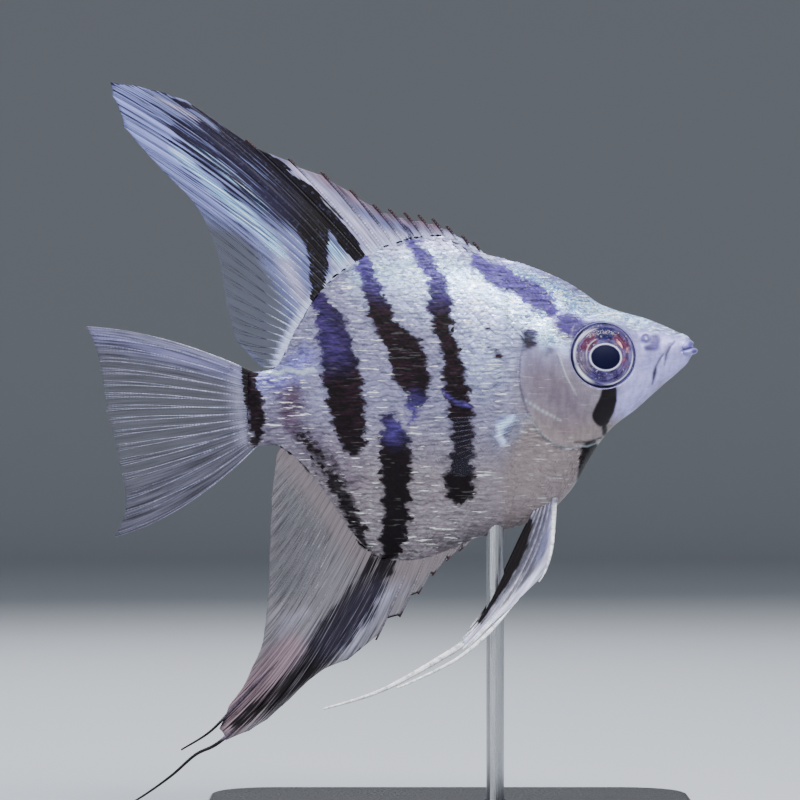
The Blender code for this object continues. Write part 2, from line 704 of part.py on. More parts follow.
def make_stand():
    """A flat base with rounded corners, and one rod that enters the belly."""
    floor = -FISH_HEIGHT
    base_top = floor + BASE_HEIGHT
    rod_top = belly(ROD_X) + ROD_IN_BELLY
    rod = rod_form("stand_rod", base_top - ROD_IN_BASE, rod_top, 0.0)
    curve = bpy.data.curves.new("stand_outline", "CURVE")
    curve.dimensions = "2D"
    curve.fill_mode = "BOTH"
    curve.extrude = BASE_HEIGHT / 2
    spline = curve.splines.new("POLY")
    points = []
    for quarter, (corner_x, corner_y) in enumerate(((1, 1), (-1, 1), (-1, -1), (1, -1))):
        for step in range(CORNER_STEPS + 1):
            turn = math.pi / 2 * (quarter + step / CORNER_STEPS)
            points.append((corner_x * (BASE_LENGTH / 2 - BASE_CORNER) + BASE_CORNER * math.cos(turn),
                           corner_y * (BASE_WIDTH / 2 - BASE_CORNER) + BASE_CORNER * math.sin(turn)))
    spline.points.add(len(points) - 1)
    for point, (x, y) in zip(spline.points, points):
        point.co = (x, y, 0.0, 1.0)
    spline.use_cyclic_u = True
    plate = bpy.data.objects.new("stand_plate", curve)
    bpy.context.scene.collection.objects.link(plate)
    plate.location.z = floor + BASE_HEIGHT / 2
    base = evaluated_copy(plate, "stand_base")
    weld_and_bevel(base, base_top)
    socket = rod_form("base_socket", base_top - ROD_IN_BASE - GAP, base_top + SOCKET_REACH, GAP)
    base = carve(base, socket)
    bpy.data.objects.remove(socket)
    return as_triangles(base), as_triangles(rod), rod_top


def weld_and_bevel(base, top):
    """Welds the plate's faces and rounds its upper edge."""
    work = bmesh.new()
    work.from_mesh(base.data)
    bmesh.ops.remove_doubles(work, verts=work.verts, dist=1e-3)
    rim = [e for e in work.edges
           if all(abs(v.co.z - top) < 1e-3 for v in e.verts)
           and len(e.link_faces) == 2
           and abs(e.link_faces[0].normal.dot(e.link_faces[1].normal)) < 0.5]
    bmesh.ops.bevel(work, geom=rim, offset=BASE_EDGE, segments=3, profile=0.5, affect="EDGES")
    work.to_mesh(base.data)
    work.free()


def make_trunk_and_stalk(rod_top):
    """The trunk behind the gill edge and the tail stalk, parted by a thin cut."""
    whole = body_solid("body")
    region = head_region("head_room", GAP)
    trunk = carve(whole, region)
    bpy.data.objects.remove(region)
    rear = object_of("stalk_core", trunk.data.copy())
    stalk_room = stalk_region("stalk_room", STALK_CUT_X)
    stalk_keep = stalk_region("stalk_keep", STALK_CUT_X - GAP)
    socket = rod_form("belly_socket", belly(ROD_X) - SOCKET_REACH, rod_top + GAP, GAP)
    stalk = carve(rear, stalk_keep, "INTERSECT")
    trunk = carve(carve(trunk, stalk_room), socket)
    for helper in (stalk_room, stalk_keep, socket):
        bpy.data.objects.remove(helper)
    stalk.name = "tail_stalk"
    trunk.name = "trunk"
    return trunk, stalk


def stalk_region(name, front_x):
    """Everything behind front_x."""
    rear_x, tall = front_x - CUTTER_REACH, CUTTER_REACH
    return prism(name, ((front_x, -tall), (front_x, tall), (rear_x, tall), (rear_x, -tall)))


def sway(x):
    """How far the fish's rear bends to its left at x."""
    behind = max(SWAY_START_X - x, 0.0)
    return SWAY_RATE * behind * behind


def place(obj, bends=True):
    """Turns a finished mesh to metres on the stand, with the tail's gentle swing."""
    as_triangles(obj, weld=1e-5)
    for vertex in obj.data.vertices:
        x, y, z = vertex.co
        shift = sway(x) if bends else 0.0
        vertex.co = Vector((x, y + shift, z + FISH_HEIGHT)) * MM
    obj.data.update()
    return obj


def finish(obj, material, collection, angle=50):
    """Gives a part its finish, smooth shading and place in the collection."""
    obj.data.materials.clear()
    obj.data.materials.append(material)
    obj.data.shade_smooth()
    obj.data.set_sharp_from_angle(angle=math.radians(angle))
    for holder in list(obj.users_collection):
        holder.objects.unlink(obj)
    collection.objects.link(obj)


def main():
    """Builds the fish and its stand."""
    clear_scene()
    fish = bpy.data.collections.new("clown_angelfish")
    bpy.context.scene.collection.children.link(fish)

    silver = make_material("silver_skin", (0.70, 0.70, 0.76), 0.35, 0.3)
    dark_fin = make_material("smoky_fin", (0.16, 0.16, 0.22), 0.4)
    clear_fin = make_material("clear_fin", (0.62, 0.62, 0.66), 0.35)
    eye_finish = make_material("eye", (0.05, 0.05, 0.10), 0.08)
    base_finish = make_material("stand_lacquer", (0.03, 0.03, 0.035), 0.3)
    rod_finish = make_material("stand_steel", (0.62, 0.63, 0.65), 0.28, 1.0)

    base, rod, rod_top = make_stand()
    head = make_head()
    trunk, stalk = make_trunk_and_stalk(rod_top)

    body_room = body_solid("body_room", grow=GAP, flare=0.0)
    fins = []
    for fin, finish_of_fin in (
        (make_dorsal_fin(), dark_fin),
        (make_anal_fin(), dark_fin),
        (make_tail_fin(), clear_fin),
        (make_breast_fin(), clear_fin),
        (make_belly_fin("pelvic_fin_right", BELLY_FILAMENT_RIGHT, -1), clear_fin),
        (make_belly_fin("pelvic_fin_left", BELLY_FILAMENT_LEFT, 1), clear_fin),
    ):
        fins.append((carve(fin, body_room, solver="MANIFOLD"), finish_of_fin))
    bpy.data.objects.remove(body_room)
    right = next(fin for fin, _ in fins if fin.name == "pectoral_fin_right")
    fins.append((mirrored(right, "pectoral_fin_left"), clear_fin))

    for side, name in ((-1, "eye_right"), (1, "eye_left")):
        finish(place(eye_form(name, side, 0.0, EYE_HALF_DEPTH)), eye_finish, fish)
    for obj in (head, trunk, stalk):
        finish(place(obj), silver, fish)
    for fin, finish_of_fin in fins:
        finish(place(fin), finish_of_fin, fish)
    finish(place(base, bends=False), base_finish, fish, angle=30)
    finish(place(rod, bends=False), rod_finish, fish, angle=30)


if __name__ == "__main__":
    main()
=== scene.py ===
"""Looks of a life-size clown angelfish on a display stand.

Lengths are millimetres in the fish's own frame until a mesh is built: the fish swims towards +x,
its right side faces -y, z is up, and zero lies inside the trunk, FISH_HEIGHT above the table. A
finished mesh is in metres on the stand, with the rear of the fish swung a little to its left.
"""

import logging
import math
from dataclasses import dataclass, field
from enum import Enum
from functools import cache, partial
from typing import Callable, Sequence

import bpy
import numpy as np
from mathutils import Matrix, Vector


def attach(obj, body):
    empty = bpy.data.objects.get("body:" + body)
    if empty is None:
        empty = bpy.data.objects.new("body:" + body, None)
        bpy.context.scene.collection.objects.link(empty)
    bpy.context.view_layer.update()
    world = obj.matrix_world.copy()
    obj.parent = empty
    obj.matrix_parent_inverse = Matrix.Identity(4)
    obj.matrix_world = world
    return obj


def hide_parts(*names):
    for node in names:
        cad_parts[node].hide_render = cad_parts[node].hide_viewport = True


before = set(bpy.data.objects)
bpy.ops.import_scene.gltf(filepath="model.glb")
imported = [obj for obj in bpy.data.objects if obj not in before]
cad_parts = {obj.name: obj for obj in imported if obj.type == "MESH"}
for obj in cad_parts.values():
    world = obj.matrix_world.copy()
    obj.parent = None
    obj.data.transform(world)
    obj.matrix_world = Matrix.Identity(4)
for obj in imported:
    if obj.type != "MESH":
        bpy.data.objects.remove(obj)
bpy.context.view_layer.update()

Array = np.ndarray
Station = tuple[float, float, float]
Colour = tuple[float, float, float]
Plug = bpy.types.NodeSocket
Material = bpy.types.Material

MM = 0.001
FISH_HEIGHT = 59.0
SWAY_START_X = -8.0
SWAY_RATE = 0.0026
BODY = "root"
LOG = logging.getLogger("angelfish")


class Side(Enum):
    """A flank of the fish, with the sign of its y."""

    RIGHT = -1
    LEFT = 1

    @property
    def word(self) -> str:
        """The side's name in lower case."""
        return self.name.lower()


class Ink(Enum):
    """A colour mask that skin, scales and fins carry at every point."""

    BAR = "bar"
    VIOLET = "violet"
    CYAN = "cyan"
    LILAC = "lilac"
    WARM = "warm"
    PALE = "pale"
    CLEAR = "clear"
    # GLEAM is no colour of the skin: it marks painted highlight lines and dots.
    GLEAM = "gleam"


def smooth_rise(low: float, high: float, value: Array) -> Array:
    """Rises from 0 at low to 1 at high, with level ends."""
    share = np.clip((value - low) / (high - low), 0.0, 1.0)
    return share * share * (3 - 2 * share)


def unit(vectors: Array) -> Array:
    """The vectors at length one."""
    return vectors / np.maximum(np.linalg.norm(vectors, axis=-1, keepdims=True), 1e-9)


def new_object(name: str, data: bpy.types.ID) -> bpy.types.Object:
    """A new object in the scene that shows some data."""
    made = bpy.data.objects.new(name, data)
    bpy.context.scene.collection.objects.link(made)
    return made


def path_through(points: Sequence[Sequence[float]], steps: int) -> Array:
    """Lays a smooth curve through some points.

    Args:
        points: The places that the curve passes, in any number of dimensions.
        steps: How many short spans lie between each two of them.

    Returns:
        The curve's points, one a row.
    """
    knots = np.array(points, float)
    ends = np.vstack([2 * knots[0] - knots[1], knots, 2 * knots[-1] - knots[-2]])
    t = (np.arange(steps) / steps)[:, None]
    spans = []
    for a, b, c, d in zip(ends, ends[1:], ends[2:], ends[3:]):
        spans.append(0.5 * (2 * b + (c - a) * t + (2 * a - 5 * b + 4 * c - d) * t**2
            + (3 * b - a - 3 * c + d) * t**3))
    return np.vstack([*spans, knots[-1:]])


def to_world(points: Array, swings: bool) -> Array:
    """Turns fish millimetres into metres on the stand.

    Args:
        points: Places in the fish's own frame.
        swings: Whether the rear bends to the fish's left, as all of the fish does.

    Returns:
        The places in the frame of the model.
    """
    moved = np.array(points, float)
    if swings:
        moved[:, 1] += SWAY_RATE * np.maximum(SWAY_START_X - moved[:, 0], 0.0) ** 2
    moved[:, 2] += FISH_HEIGHT
    return moved * MM


def grid_faces(rows: int, columns: int, closed: bool = False) -> Array:
    """Quads between neighbouring rows of points, with the last column joined to the first if closed."""
    low = np.arange(rows - 1)[:, None] * columns
    here = np.arange(columns if closed else columns - 1)[None]
    beside = (here + 1) % columns
    return np.stack([low + here, low + beside, low + columns + beside, low + columns + here],
        axis=-1).reshape(-1, 4)


def sheet_faces(rows: int, columns: int) -> list[Array]:
    """Faces of a thin sheet: a grid of points, the same grid below it, and the rim between them."""
    count = rows * columns
    faces = grid_faces(rows, columns)
    here = np.array([*range(columns), *range(2 * columns - 1, count, columns),
        *range(count - 2, count - columns - 1, -1), *range(count - 2 * columns, 0, -columns)])
    beyond = np.roll(here, -1)
    rim = np.stack([beyond, here, here + count, beyond + count], axis=1)
    return [faces, faces[:, ::-1] + count, rim]


def capped_faces(rows: int, columns: int) -> list[Array]:
    """Faces over closed rings of points that lie between one point before them and one after them."""
    here = np.arange(columns)
    beyond = (here + 1) % columns
    last = 1 + (rows - 1) * columns
    return [grid_faces(rows, columns, closed=True) + 1,
        np.stack([np.zeros(columns, int), 1 + beyond, 1 + here], axis=1),
        np.stack([np.full(columns, last + columns), last + here, last + beyond], axis=1)]


def run_along(path: Array) -> Array:
    """How far along a path each of its points lies."""
    return np.concatenate([[0.0], np.cumsum(np.linalg.norm(np.diff(path, axis=0), axis=1))])


def roots_between(ends: Sequence[Sequence[float]], count: int,
        first: float = 0.0) -> list[tuple[float, float]]:
    """Evenly spaced places of a straight line, from a share of it to its end."""
    start, end = (np.array(point) for point in ends)
    return [tuple(start + (end - start) * share) for share in np.linspace(first, 1.0, count)]


def signed_volume(points: Array, faces: list[Array]) -> float:
    """Volume that the faces hold, below zero if they face inwards."""
    total = 0.0
    for block in faces:
        a = points[block[:, 0]]
        for k in range(1, block.shape[1] - 1):
            total += np.einsum("ij,ij->", a, np.cross(points[block[:, k]], points[block[:, k + 1]]))
    return total / 6


@dataclass
class Draft:
    """A mesh in the making: closed lumps of points and faces, with named shades at every point."""

    points: list[Array] = field(default_factory=list)
    faces: list[Array] = field(default_factory=list)
    shades: dict[str, list[Array]] = field(default_factory=dict)
    patches: list[Array] = field(default_factory=list)
    normals: list[Array] = field(default_factory=list)
    count: int = 0

    def add(self, points: Array, faces: list[Array], patch: Array | None = None,
            normals: Array | None = None, **shades: Array | float) -> None:
        """Adds closed lumps and turns them to face outwards.

        Args:
            points: Places in fish millimetres.
            faces: Blocks of triangles or quads that index the points.
            patch: Map coordinates of the points, for a coat.
            normals: Shading normals of the points, where they aren't the surface's own.
            **shades: A value for each point, or one for them all, under each shade's name.
        """
        turned = signed_volume(points, faces) < 0
        for block in faces:
            self.faces.append((block[:, ::-1] if turned else block) + self.count)
        self.points.append(points)
        if patch is not None:
            self.patches.append(patch)
        if normals is not None:
            self.normals.append(normals)
        for name, values in shades.items():
            self.shades.setdefault(name, []).append(np.broadcast_to(values, len(points)))
        self.count += len(points)

    def build(self, name: str, material: Material, slot: str, replaced: Sequence[str] = (),
            swings: bool = True) -> bpy.types.Object:
        """Makes the mesh object and hangs it on the model.

        Args:
            name: The piece's name.
            material: Its finish.
            slot: Not used.
            replaced: Names of the plain solids that it stands for.
            swings: Whether the rear bends to the left with the fish.

        Returns:
            The finished object.
        """
        points = np.concatenate(self.points)
        sizes = np.concatenate([np.full(len(block), block.shape[1]) for block in self.faces])
        corners = np.concatenate([block.ravel() for block in self.faces]).astype(np.int32)
        mesh = bpy.data.meshes.new(name)
        mesh.vertices.add(len(points))
        mesh.vertices.foreach_set("co", to_world(points, swings).astype(np.float32).ravel())
        mesh.loops.add(len(corners))
        mesh.loops.foreach_set("vertex_index", corners)
        mesh.polygons.add(len(sizes))
        mesh.polygons.foreach_set("loop_start", (np.cumsum(sizes) - sizes).astype(np.int32))
        mesh.polygons.foreach_set("use_smooth", np.ones(len(sizes), bool))
        mesh.update(calc_edges=True)
        for shade, values in self.shades.items():
            layer = mesh.attributes.new(shade, "FLOAT", "POINT")
            layer.data.foreach_set("value", np.concatenate(values).astype(np.float32))
        if self.patches:
            layer = mesh.uv_layers.new(name="OFBake")
            layer.data.foreach_set("uv", np.concatenate(self.patches)[corners].astype(np.float32).ravel())
        if self.normals:
            mesh.normals_split_custom_set_from_vertices(np.concatenate(self.normals).tolist())
        mesh.materials.append(material)
        piece = new_object(name, mesh)
        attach(piece, BODY)
        if replaced:
            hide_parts(*replaced)
        LOG.info("%s: %d triangles", name, int((sizes - 2).sum()))
        return piece


def sweep(path: Array, wide: Array, thick: Array, sides: int = 6,
        beside: Sequence[float] = (0.0, 1.0, 0.0)) -> tuple[Array, list[Array]]:
    """Sweeps an oval along a path and closes both ends.

    Args:
        path: The middle line, one point a row.
        wide: Half width at each point, across the path in the plane that beside stands on.
        thick: Half thickness at each point, near the beside direction.
        sides: How many corners the oval has.
        beside: A direction that the path never runs along.

    Returns:
        The points, and the blocks of faces.
    """
    tangent = unit(np.gradient(path, axis=0))
    across = unit(np.cross(tangent, np.array(beside)))
    outward = np.cross(across, tangent)
    turn = np.arange(sides) * 2 * math.pi / sides
    ring = (path[:, None] + (wide[:, None] * np.cos(turn))[..., None] * across[:, None]
        + (thick[:, None] * np.sin(turn))[..., None] * outward[:, None])
    rows = len(path)
    points = np.vstack([ring.reshape(-1, 3), path[:1], path[-1:]])
    here = np.arange(sides)
    beyond = (here + 1) % sides
    last = (rows - 1) * sides
    start_cap = np.stack([np.full(sides, rows * sides), beyond, here], axis=1)
    end_cap = np.stack([np.full(sides, rows * sides + 1), last + here, last + beyond], axis=1)
    return points, [grid_faces(rows, sides, closed=True), start_cap, end_cap]


@dataclass(frozen=True)
class SmoothLine:
    """A smooth graph through (x, value) knots."""

    knots: tuple[tuple[float, float], ...]

    def __call__(self, x: Array | float) -> Array:
        """The graph's value at x, level beyond its ends."""
        xs, values = np.array(sorted(self.knots), float).T
        steps = np.diff(xs)
        rates = np.diff(values) / steps
        inner = (steps[:-1] * rates[1:] + steps[1:] * rates[:-1]) / (steps[:-1] + steps[1:])
        slopes = np.concatenate([rates[:1], inner, rates[-1:]])
        at = np.clip(x, xs[0], xs[-1])
        i = np.clip(np.searchsorted(xs, at) - 1, 0, len(xs) - 2)
        t = (at - xs[i]) / steps[i]
        rise = (3 - 2 * t) * t * t
        return (values[i] * (1 - rise) + values[i + 1] * rise + steps[i] * slopes[i] * t * (1 - t) ** 2
            - steps[i] * slopes[i + 1] * t * t * (1 - t))


@dataclass(frozen=True)
class Stroke:
    """One stroke of an ink over the side view, as (x, z, half width) stations with a soft edge."""

    ink: Ink
    stations: tuple[Station, ...]
    soft: float = 0.3
    depth: float = 1.0
    crisp: bool = False

    def cover(self, x: Array, z: Array) -> Array:
        """How much of the ink lies on each place, from 0 to depth."""
        found = np.zeros(np.shape(x))
        for (ax, az, ar), (bx, bz, br) in zip(self.stations, self.stations[1:] or self.stations):
            run_x, run_z = bx - ax, bz - az
            length = max(run_x**2 + run_z**2, 1e-9)
            t = np.clip(((x - ax) * run_x + (z - az) * run_z) / length, 0.0, 1.0)
            away = np.hypot(x - ax - t * run_x, z - az - t * run_z) - (ar + t * (br - ar))
            found = np.maximum(found, 1 - smooth_rise(-self.soft, self.soft, away))
        return found * self.depth


bar, violet, cyan, lilac, warm, pale, clear, gleam = (partial(Stroke, ink) for ink in Ink)


@dataclass(frozen=True)
class Pattern:
    """Strokes of several inks, with edges that wander a little and differ from side to side."""

    strokes: tuple[Stroke, ...]
    wander: float = 0.22
    side_shift: float = 0.55

    def masks(self, x: Array, z: Array, side: Side) -> dict[str, Array]:
        """Reads every ink at some places.

        Args:
            x: Distance ahead, in fish millimetres.
            z: Height.
            side: The flank, since the left one's bars wander in their own way.

        Returns:
            A value from 0 to 1 for each place, under each ink's name.
        """
        phase = 0.0 if side is Side.RIGHT else 2.1
        shift = 0.0 if side is Side.RIGHT else self.side_shift
        wavy_x = (x + self.wander * (np.sin(2.3 * z + 0.6 * x + phase) + 0.6
            * np.sin(4.7 * z - x + 2 * phase)) + shift * np.sin(0.33 * z + 0.8))
        wavy_z = z + self.wander * np.sin(1.9 * x + 0.5 * z + phase) + shift * np.sin(0.29 * x)
        found = {}
        for ink in Ink:
            layers = [s.cover(x, z) if s.crisp else s.cover(wavy_x, wavy_z) for s in self.strokes
                if s.ink is ink]
            found[ink.value] = np.max(layers, axis=0) if layers else np.zeros(np.shape(x))
        return found


def nearest_on_path(x: Array, z: Array, path: Array) -> tuple[Array, Array]:
    """Measures places against a path in the side view.

    Args:
        x: Distance ahead of each place.
        z: Height of each place.
        path: The path's points.

    Returns:
        Distance to the path, positive on its left, and the share of the path at the nearest point.
    """
    best = np.full(np.shape(x), 1e9)
    sign = np.ones(np.shape(x))
    share = np.zeros(np.shape(x))
    spans = len(path) - 1
    for i, (a, b) in enumerate(zip(path, path[1:])):
        run = b - a
        t = np.clip(((x - a[0]) * run[0] + (z - a[1]) * run[1]) / (run @ run), 0.0, 1.0)
        away = np.hypot(x - a[0] - t * run[0], z - a[1] - t * run[1])
        closer = away < best
        best = np.where(closer, away, best)
        sign = np.where(closer, np.sign(run[0] * (z - a[1]) - run[1] * (x - a[0])), sign)
        share = np.where(closer, (i + t) / spans, share)
    return best * sign, share


BACK = SmoothLine((
    (32.6, 8), (32.2, 8.5), (30.9, 9.1), (29.4, 9.8), (27, 10.8), (21.9, 12.3), (20.2, 13),
    (18.2, 14.4), (16.2, 15.7), (13.5, 17), (6.7, 19.2), (0.7, 20.3), (-3.4, 20.2),
    (-7.4, 19.3), (-11.5, 17.5), (-14.8, 15.3), (-17.3, 12.9), (-20, 8.8), (-22.1, 5.5),
    (-24, 4.1), (-25.9, 3.8), (-27.3, 3.9),
))
BELLY = SmoothLine((
    (32.6, 6), (32.2, 5.25), (31, 4), (28.8, 2.1), (25.6, -0.8), (20.6, -5.2), (19.4, -7),
    (16.5, -11.9), (14.3, -14.3), (11.5, -16), (4.7, -18.2), (-1.4, -20.1), (-5, -20.9),
    (-8.1, -20.8), (-10.8, -19.6), (-12.8, -17.5), (-16.5, -12.1), (-18.6, -9.3),
    (-20.8, -7), (-22.9, -6.1), (-25.9, -6.2), (-27.3, -6.5),
))
HALF_WIDTH = SmoothLine((
    (32.6, 0.75), (32.2, 1.2), (31.2, 1.65), (28, 2.7), (24, 3.8), (20, 4.6),
    (15, 5.2), (9, 5.4), (2, 5.3), (-5, 4.6), (-12, 3.5), (-18, 2.4),
    (-22, 1.8), (-25.9, 1.2), (-27.3, 0.45),
))
GILL_EDGE = ((15.4, 22), (12.9, 14.5), (10.3, 9), (9.2, 4), (9.9, -0.5), (12.2, -4.7), (15, -6.3),
    (18, -6.2), (20.3, -5.5), (22.5, -7.5))
CHEEK_EDGE = ((14.2, 6.6), (15.3, 2.4), (17.2, -0.9), (20.6, -2.4))
NOSTRIL = (26.35, 8.3)
EYE = (20.48, 5.95)
EYE_CLEARANCE = 5.15
EYE_RADIUS = 4.42
EYE_OUT = 3.75
EYE_FORWARD, EYE_UPWARD = 8.0, 7.0


@dataclass(frozen=True)
class EyeSeat:
    """Where an eye sits: its middle, its lean, and the way between its own frame and the fish's."""

    side: Side

    @property
    def middle(self) -> Array:
        """The middle of the eyeball."""
        return np.array((EYE[0], self.side.value * EYE_OUT, EYE[1]))

    @property
    def axes(self) -> Array:
        """Columns that point ahead, outwards and up in the eye's own frame."""
        turn = (Matrix.Rotation(-self.side.value * math.radians(EYE_FORWARD), 3, "Z")
            @ Matrix.Rotation(self.side.value * math.radians(EYE_UPWARD), 3, "X"))
        return np.array(turn) @ np.diag((1.0, float(self.side.value), 1.0))

    def inside(self, points: Array) -> Array:
        """Fish places in the eye's frame: ahead, outwards, up."""
        return (points - self.middle) @ self.axes

    def outside(self, local: Array) -> Array:
        """Places of the eye's frame in the fish's."""
        return local @ self.axes.T + self.middle


@dataclass(frozen=True)
class BodyForm:
    """The fish's trunk and head as a surface: stations along x, and a turn round each one."""

    power: float = 1.3
    flare: float = 0.4
    coat_depth: float = 0.1
    keel_height: float = 1.7
    low_keel_height: float = 0.6
    keel_half: float = 0.6
    creases: tuple[Stroke, ...] = (
        bar(((29.7, 7.4, 0.12), (29.2, 6.5, 0.12), (28.9, 5.0, 0.1)), 0.3, 0.16),
        bar(((28.6, 5.9, 0.12), (27.9, 5.0, 0.18), (27.45, 3.9, 0.16), (27.3, 2.4, 0.1)), 0.35, 0.26),
        bar(((32.7, 8.2, 0.1), (32.2, 7.7, 0.12), (31.4, 6.9, 0.1)), 0.25, 0.18),
        bar(((33.4, 7.15, 0.06), (32.2, 6.95, 0.08), (31.15, 6.55, 0.08)), 0.2, 0.22),
        bar(((12.8, -2.0, 0.05), (14.6, -2.7, 0.08), (16.4, -3.0, 0.05)), 0.22, 0.07),
        bar(((26.0, 0.6, 0.05), (23.6, -1.5, 0.1), (21.4, -3.6, 0.08), (19.2, -5.5, 0.06)), 0.28, 0.12),
        bar(((19.6, -6.9, 0.08), (17.2, -7.4, 0.1), (14.6, -7.6, 0.05)), 0.3, 0.1),
    )

    def keel(self, x: Array, above: bool) -> Array:
        """Height of the scaled sheath along the base of the dorsal or the anal fin."""
        front = 5.0 if above else 3.4
        height = self.keel_height if above else self.low_keel_height
        return height * smooth_rise(front, front - 6.0, x) * smooth_rise(-23.4, -20.5, x)

    def shell(self, x: Array, turn: Array, side: Side) -> Array:
        """Places on the plain body, by station and turn.

        Args:
            x: Station of each place.
            turn: From -pi/2 at the belly's edge to pi/2 at the back's.
            side: The flank.

        Returns:
            The places, in the last axis.
        """
        middle = (BACK(x) + BELLY(x)) / 2
        tall = (BACK(x) - BELLY(x)) / 2
        swell = smooth_rise(20.0, 12.0, x) * smooth_rise(7.0, 9.4, x)
        wide = HALF_WIDTH(x) + self.flare * swell - self.coat_depth * smooth_rise(24.0, 16.0, x)
        y = wide * np.abs(np.cos(turn)) ** self.power
        ridge = np.exp(-((y / self.keel_half) ** 2))
        z = middle + tall * np.sin(turn)
        z = z + np.where(turn > 0, self.keel(x, True), -self.keel(x, False)) * ridge
        y = y + 0.12 * ridge * np.abs(np.cos(turn)) ** 0.5
        return np.stack(np.broadcast_arrays(x, side.value * y, z), axis=-1)

    def outward(self, x: Array, turn: Array, side: Side) -> Array:
        """Directions straight out of the plain body."""
        turn = np.clip(turn, -1.54, 1.54)
        step = 0.05
        ahead = self.shell(x + step, turn, side) - self.shell(x - step, turn, side)
        up = self.shell(x, turn + step / 4, side) - self.shell(x, turn - step / 4, side)
        return unit(np.cross(up, ahead) * side.value)

    def relief(self, x: Array, z: Array) -> Array:
        """How far skin stands above the plain body: gill cover, cheek, creases and nostril."""
        gill, _ = nearest_on_path(x, z, path_through(GILL_EDGE, 4))
        edge = np.interp(gill, (-1.3, -0.5, -0.15, 0.15, 0.5, 3.0), (0.0, -0.1, -0.2, 0.3, 0.32, 0.0))
        raised = edge * smooth_rise(10.8, 8.6, z) * smooth_rise(22.0, 18.5, x)
        cheek, share = nearest_on_path(x, z, path_through(CHEEK_EDGE, 5))
        step = np.interp(cheek, (-0.6, -0.12, 0.12, 1.8), (0.0, -0.07, 0.13, 0.0))
        raised = raised + step * smooth_rise(0.0, 0.15, share) * smooth_rise(1.0, 0.8, share)
        for crease in self.creases:
            raised = raised - crease.cover(x, z)
        from_nostril = np.hypot(x - NOSTRIL[0], z - NOSTRIL[1])
        raised = raised + 0.14 * np.exp(-((from_nostril / 0.2) ** 2))
        return raised - 0.14 * np.exp(-(((from_nostril - 0.42) / 0.14) ** 2))

    def skin(self, x: Array, turn: Array, side: Side) -> Array:
        """Places on the modelled skin, orbits and eye sockets left out."""
        plain = self.shell(x, turn, side)
        flat = np.abs(np.cos(turn))[..., None] ** 0.6
        rise = self.relief(plain[..., 0], plain[..., 2])[..., None]
        return plain + self.outward(x, turn, side) * rise * flat


@dataclass(frozen=True)
class Socket:
    """The opening that an eye looks out of, cut into the skin as a round wall with a raised rim."""

    opening: float = 4.52
    wall: float = 0.16
    floor: float = -0.5
    mound: float = 5.3
    mound_depth: float = 0.72

    def shape(self, points: Array, seat: EyeSeat) -> Array:
        """Moves skin near an eye onto the rim, the wall or the floor of its socket.

        Args:
            points: Skin places in fish millimetres.
            seat: The eye's seat.

        Returns:
            The places after the move.
        """
        local = seat.inside(points)
        near = (local[:, 1] > -3.0) & (np.hypot(local[:, 0], local[:, 2]) < self.mound + 0.6)
        part = local[near]
        far = np.maximum(np.hypot(part[:, 0], part[:, 2]), 1e-6)
        inside = far < self.opening
        snap = np.clip(1 - np.abs(far - self.opening) / 0.4, 0.0, 1.0)
        target = np.where(inside, self.opening - self.wall / 2, self.opening + self.wall / 2)
        moved = far + (target - far) * smooth_rise(0.0, 0.6, snap)
        part[:, 0] *= moved / far
        part[:, 2] *= moved / far
        rim = self.mound_depth * np.sqrt(np.clip(1 - (moved / (self.mound + 0.5)) ** 2, 0.0, 1.0))
        blend = smooth_rise(self.mound + 0.6, self.opening, moved)
        lifted = np.maximum(part[:, 1], part[:, 1] * (1 - blend) + rim * blend)
        part[:, 1] = np.where(inside, self.floor, lifted)
        local[near] = part
        return seat.outside(local)


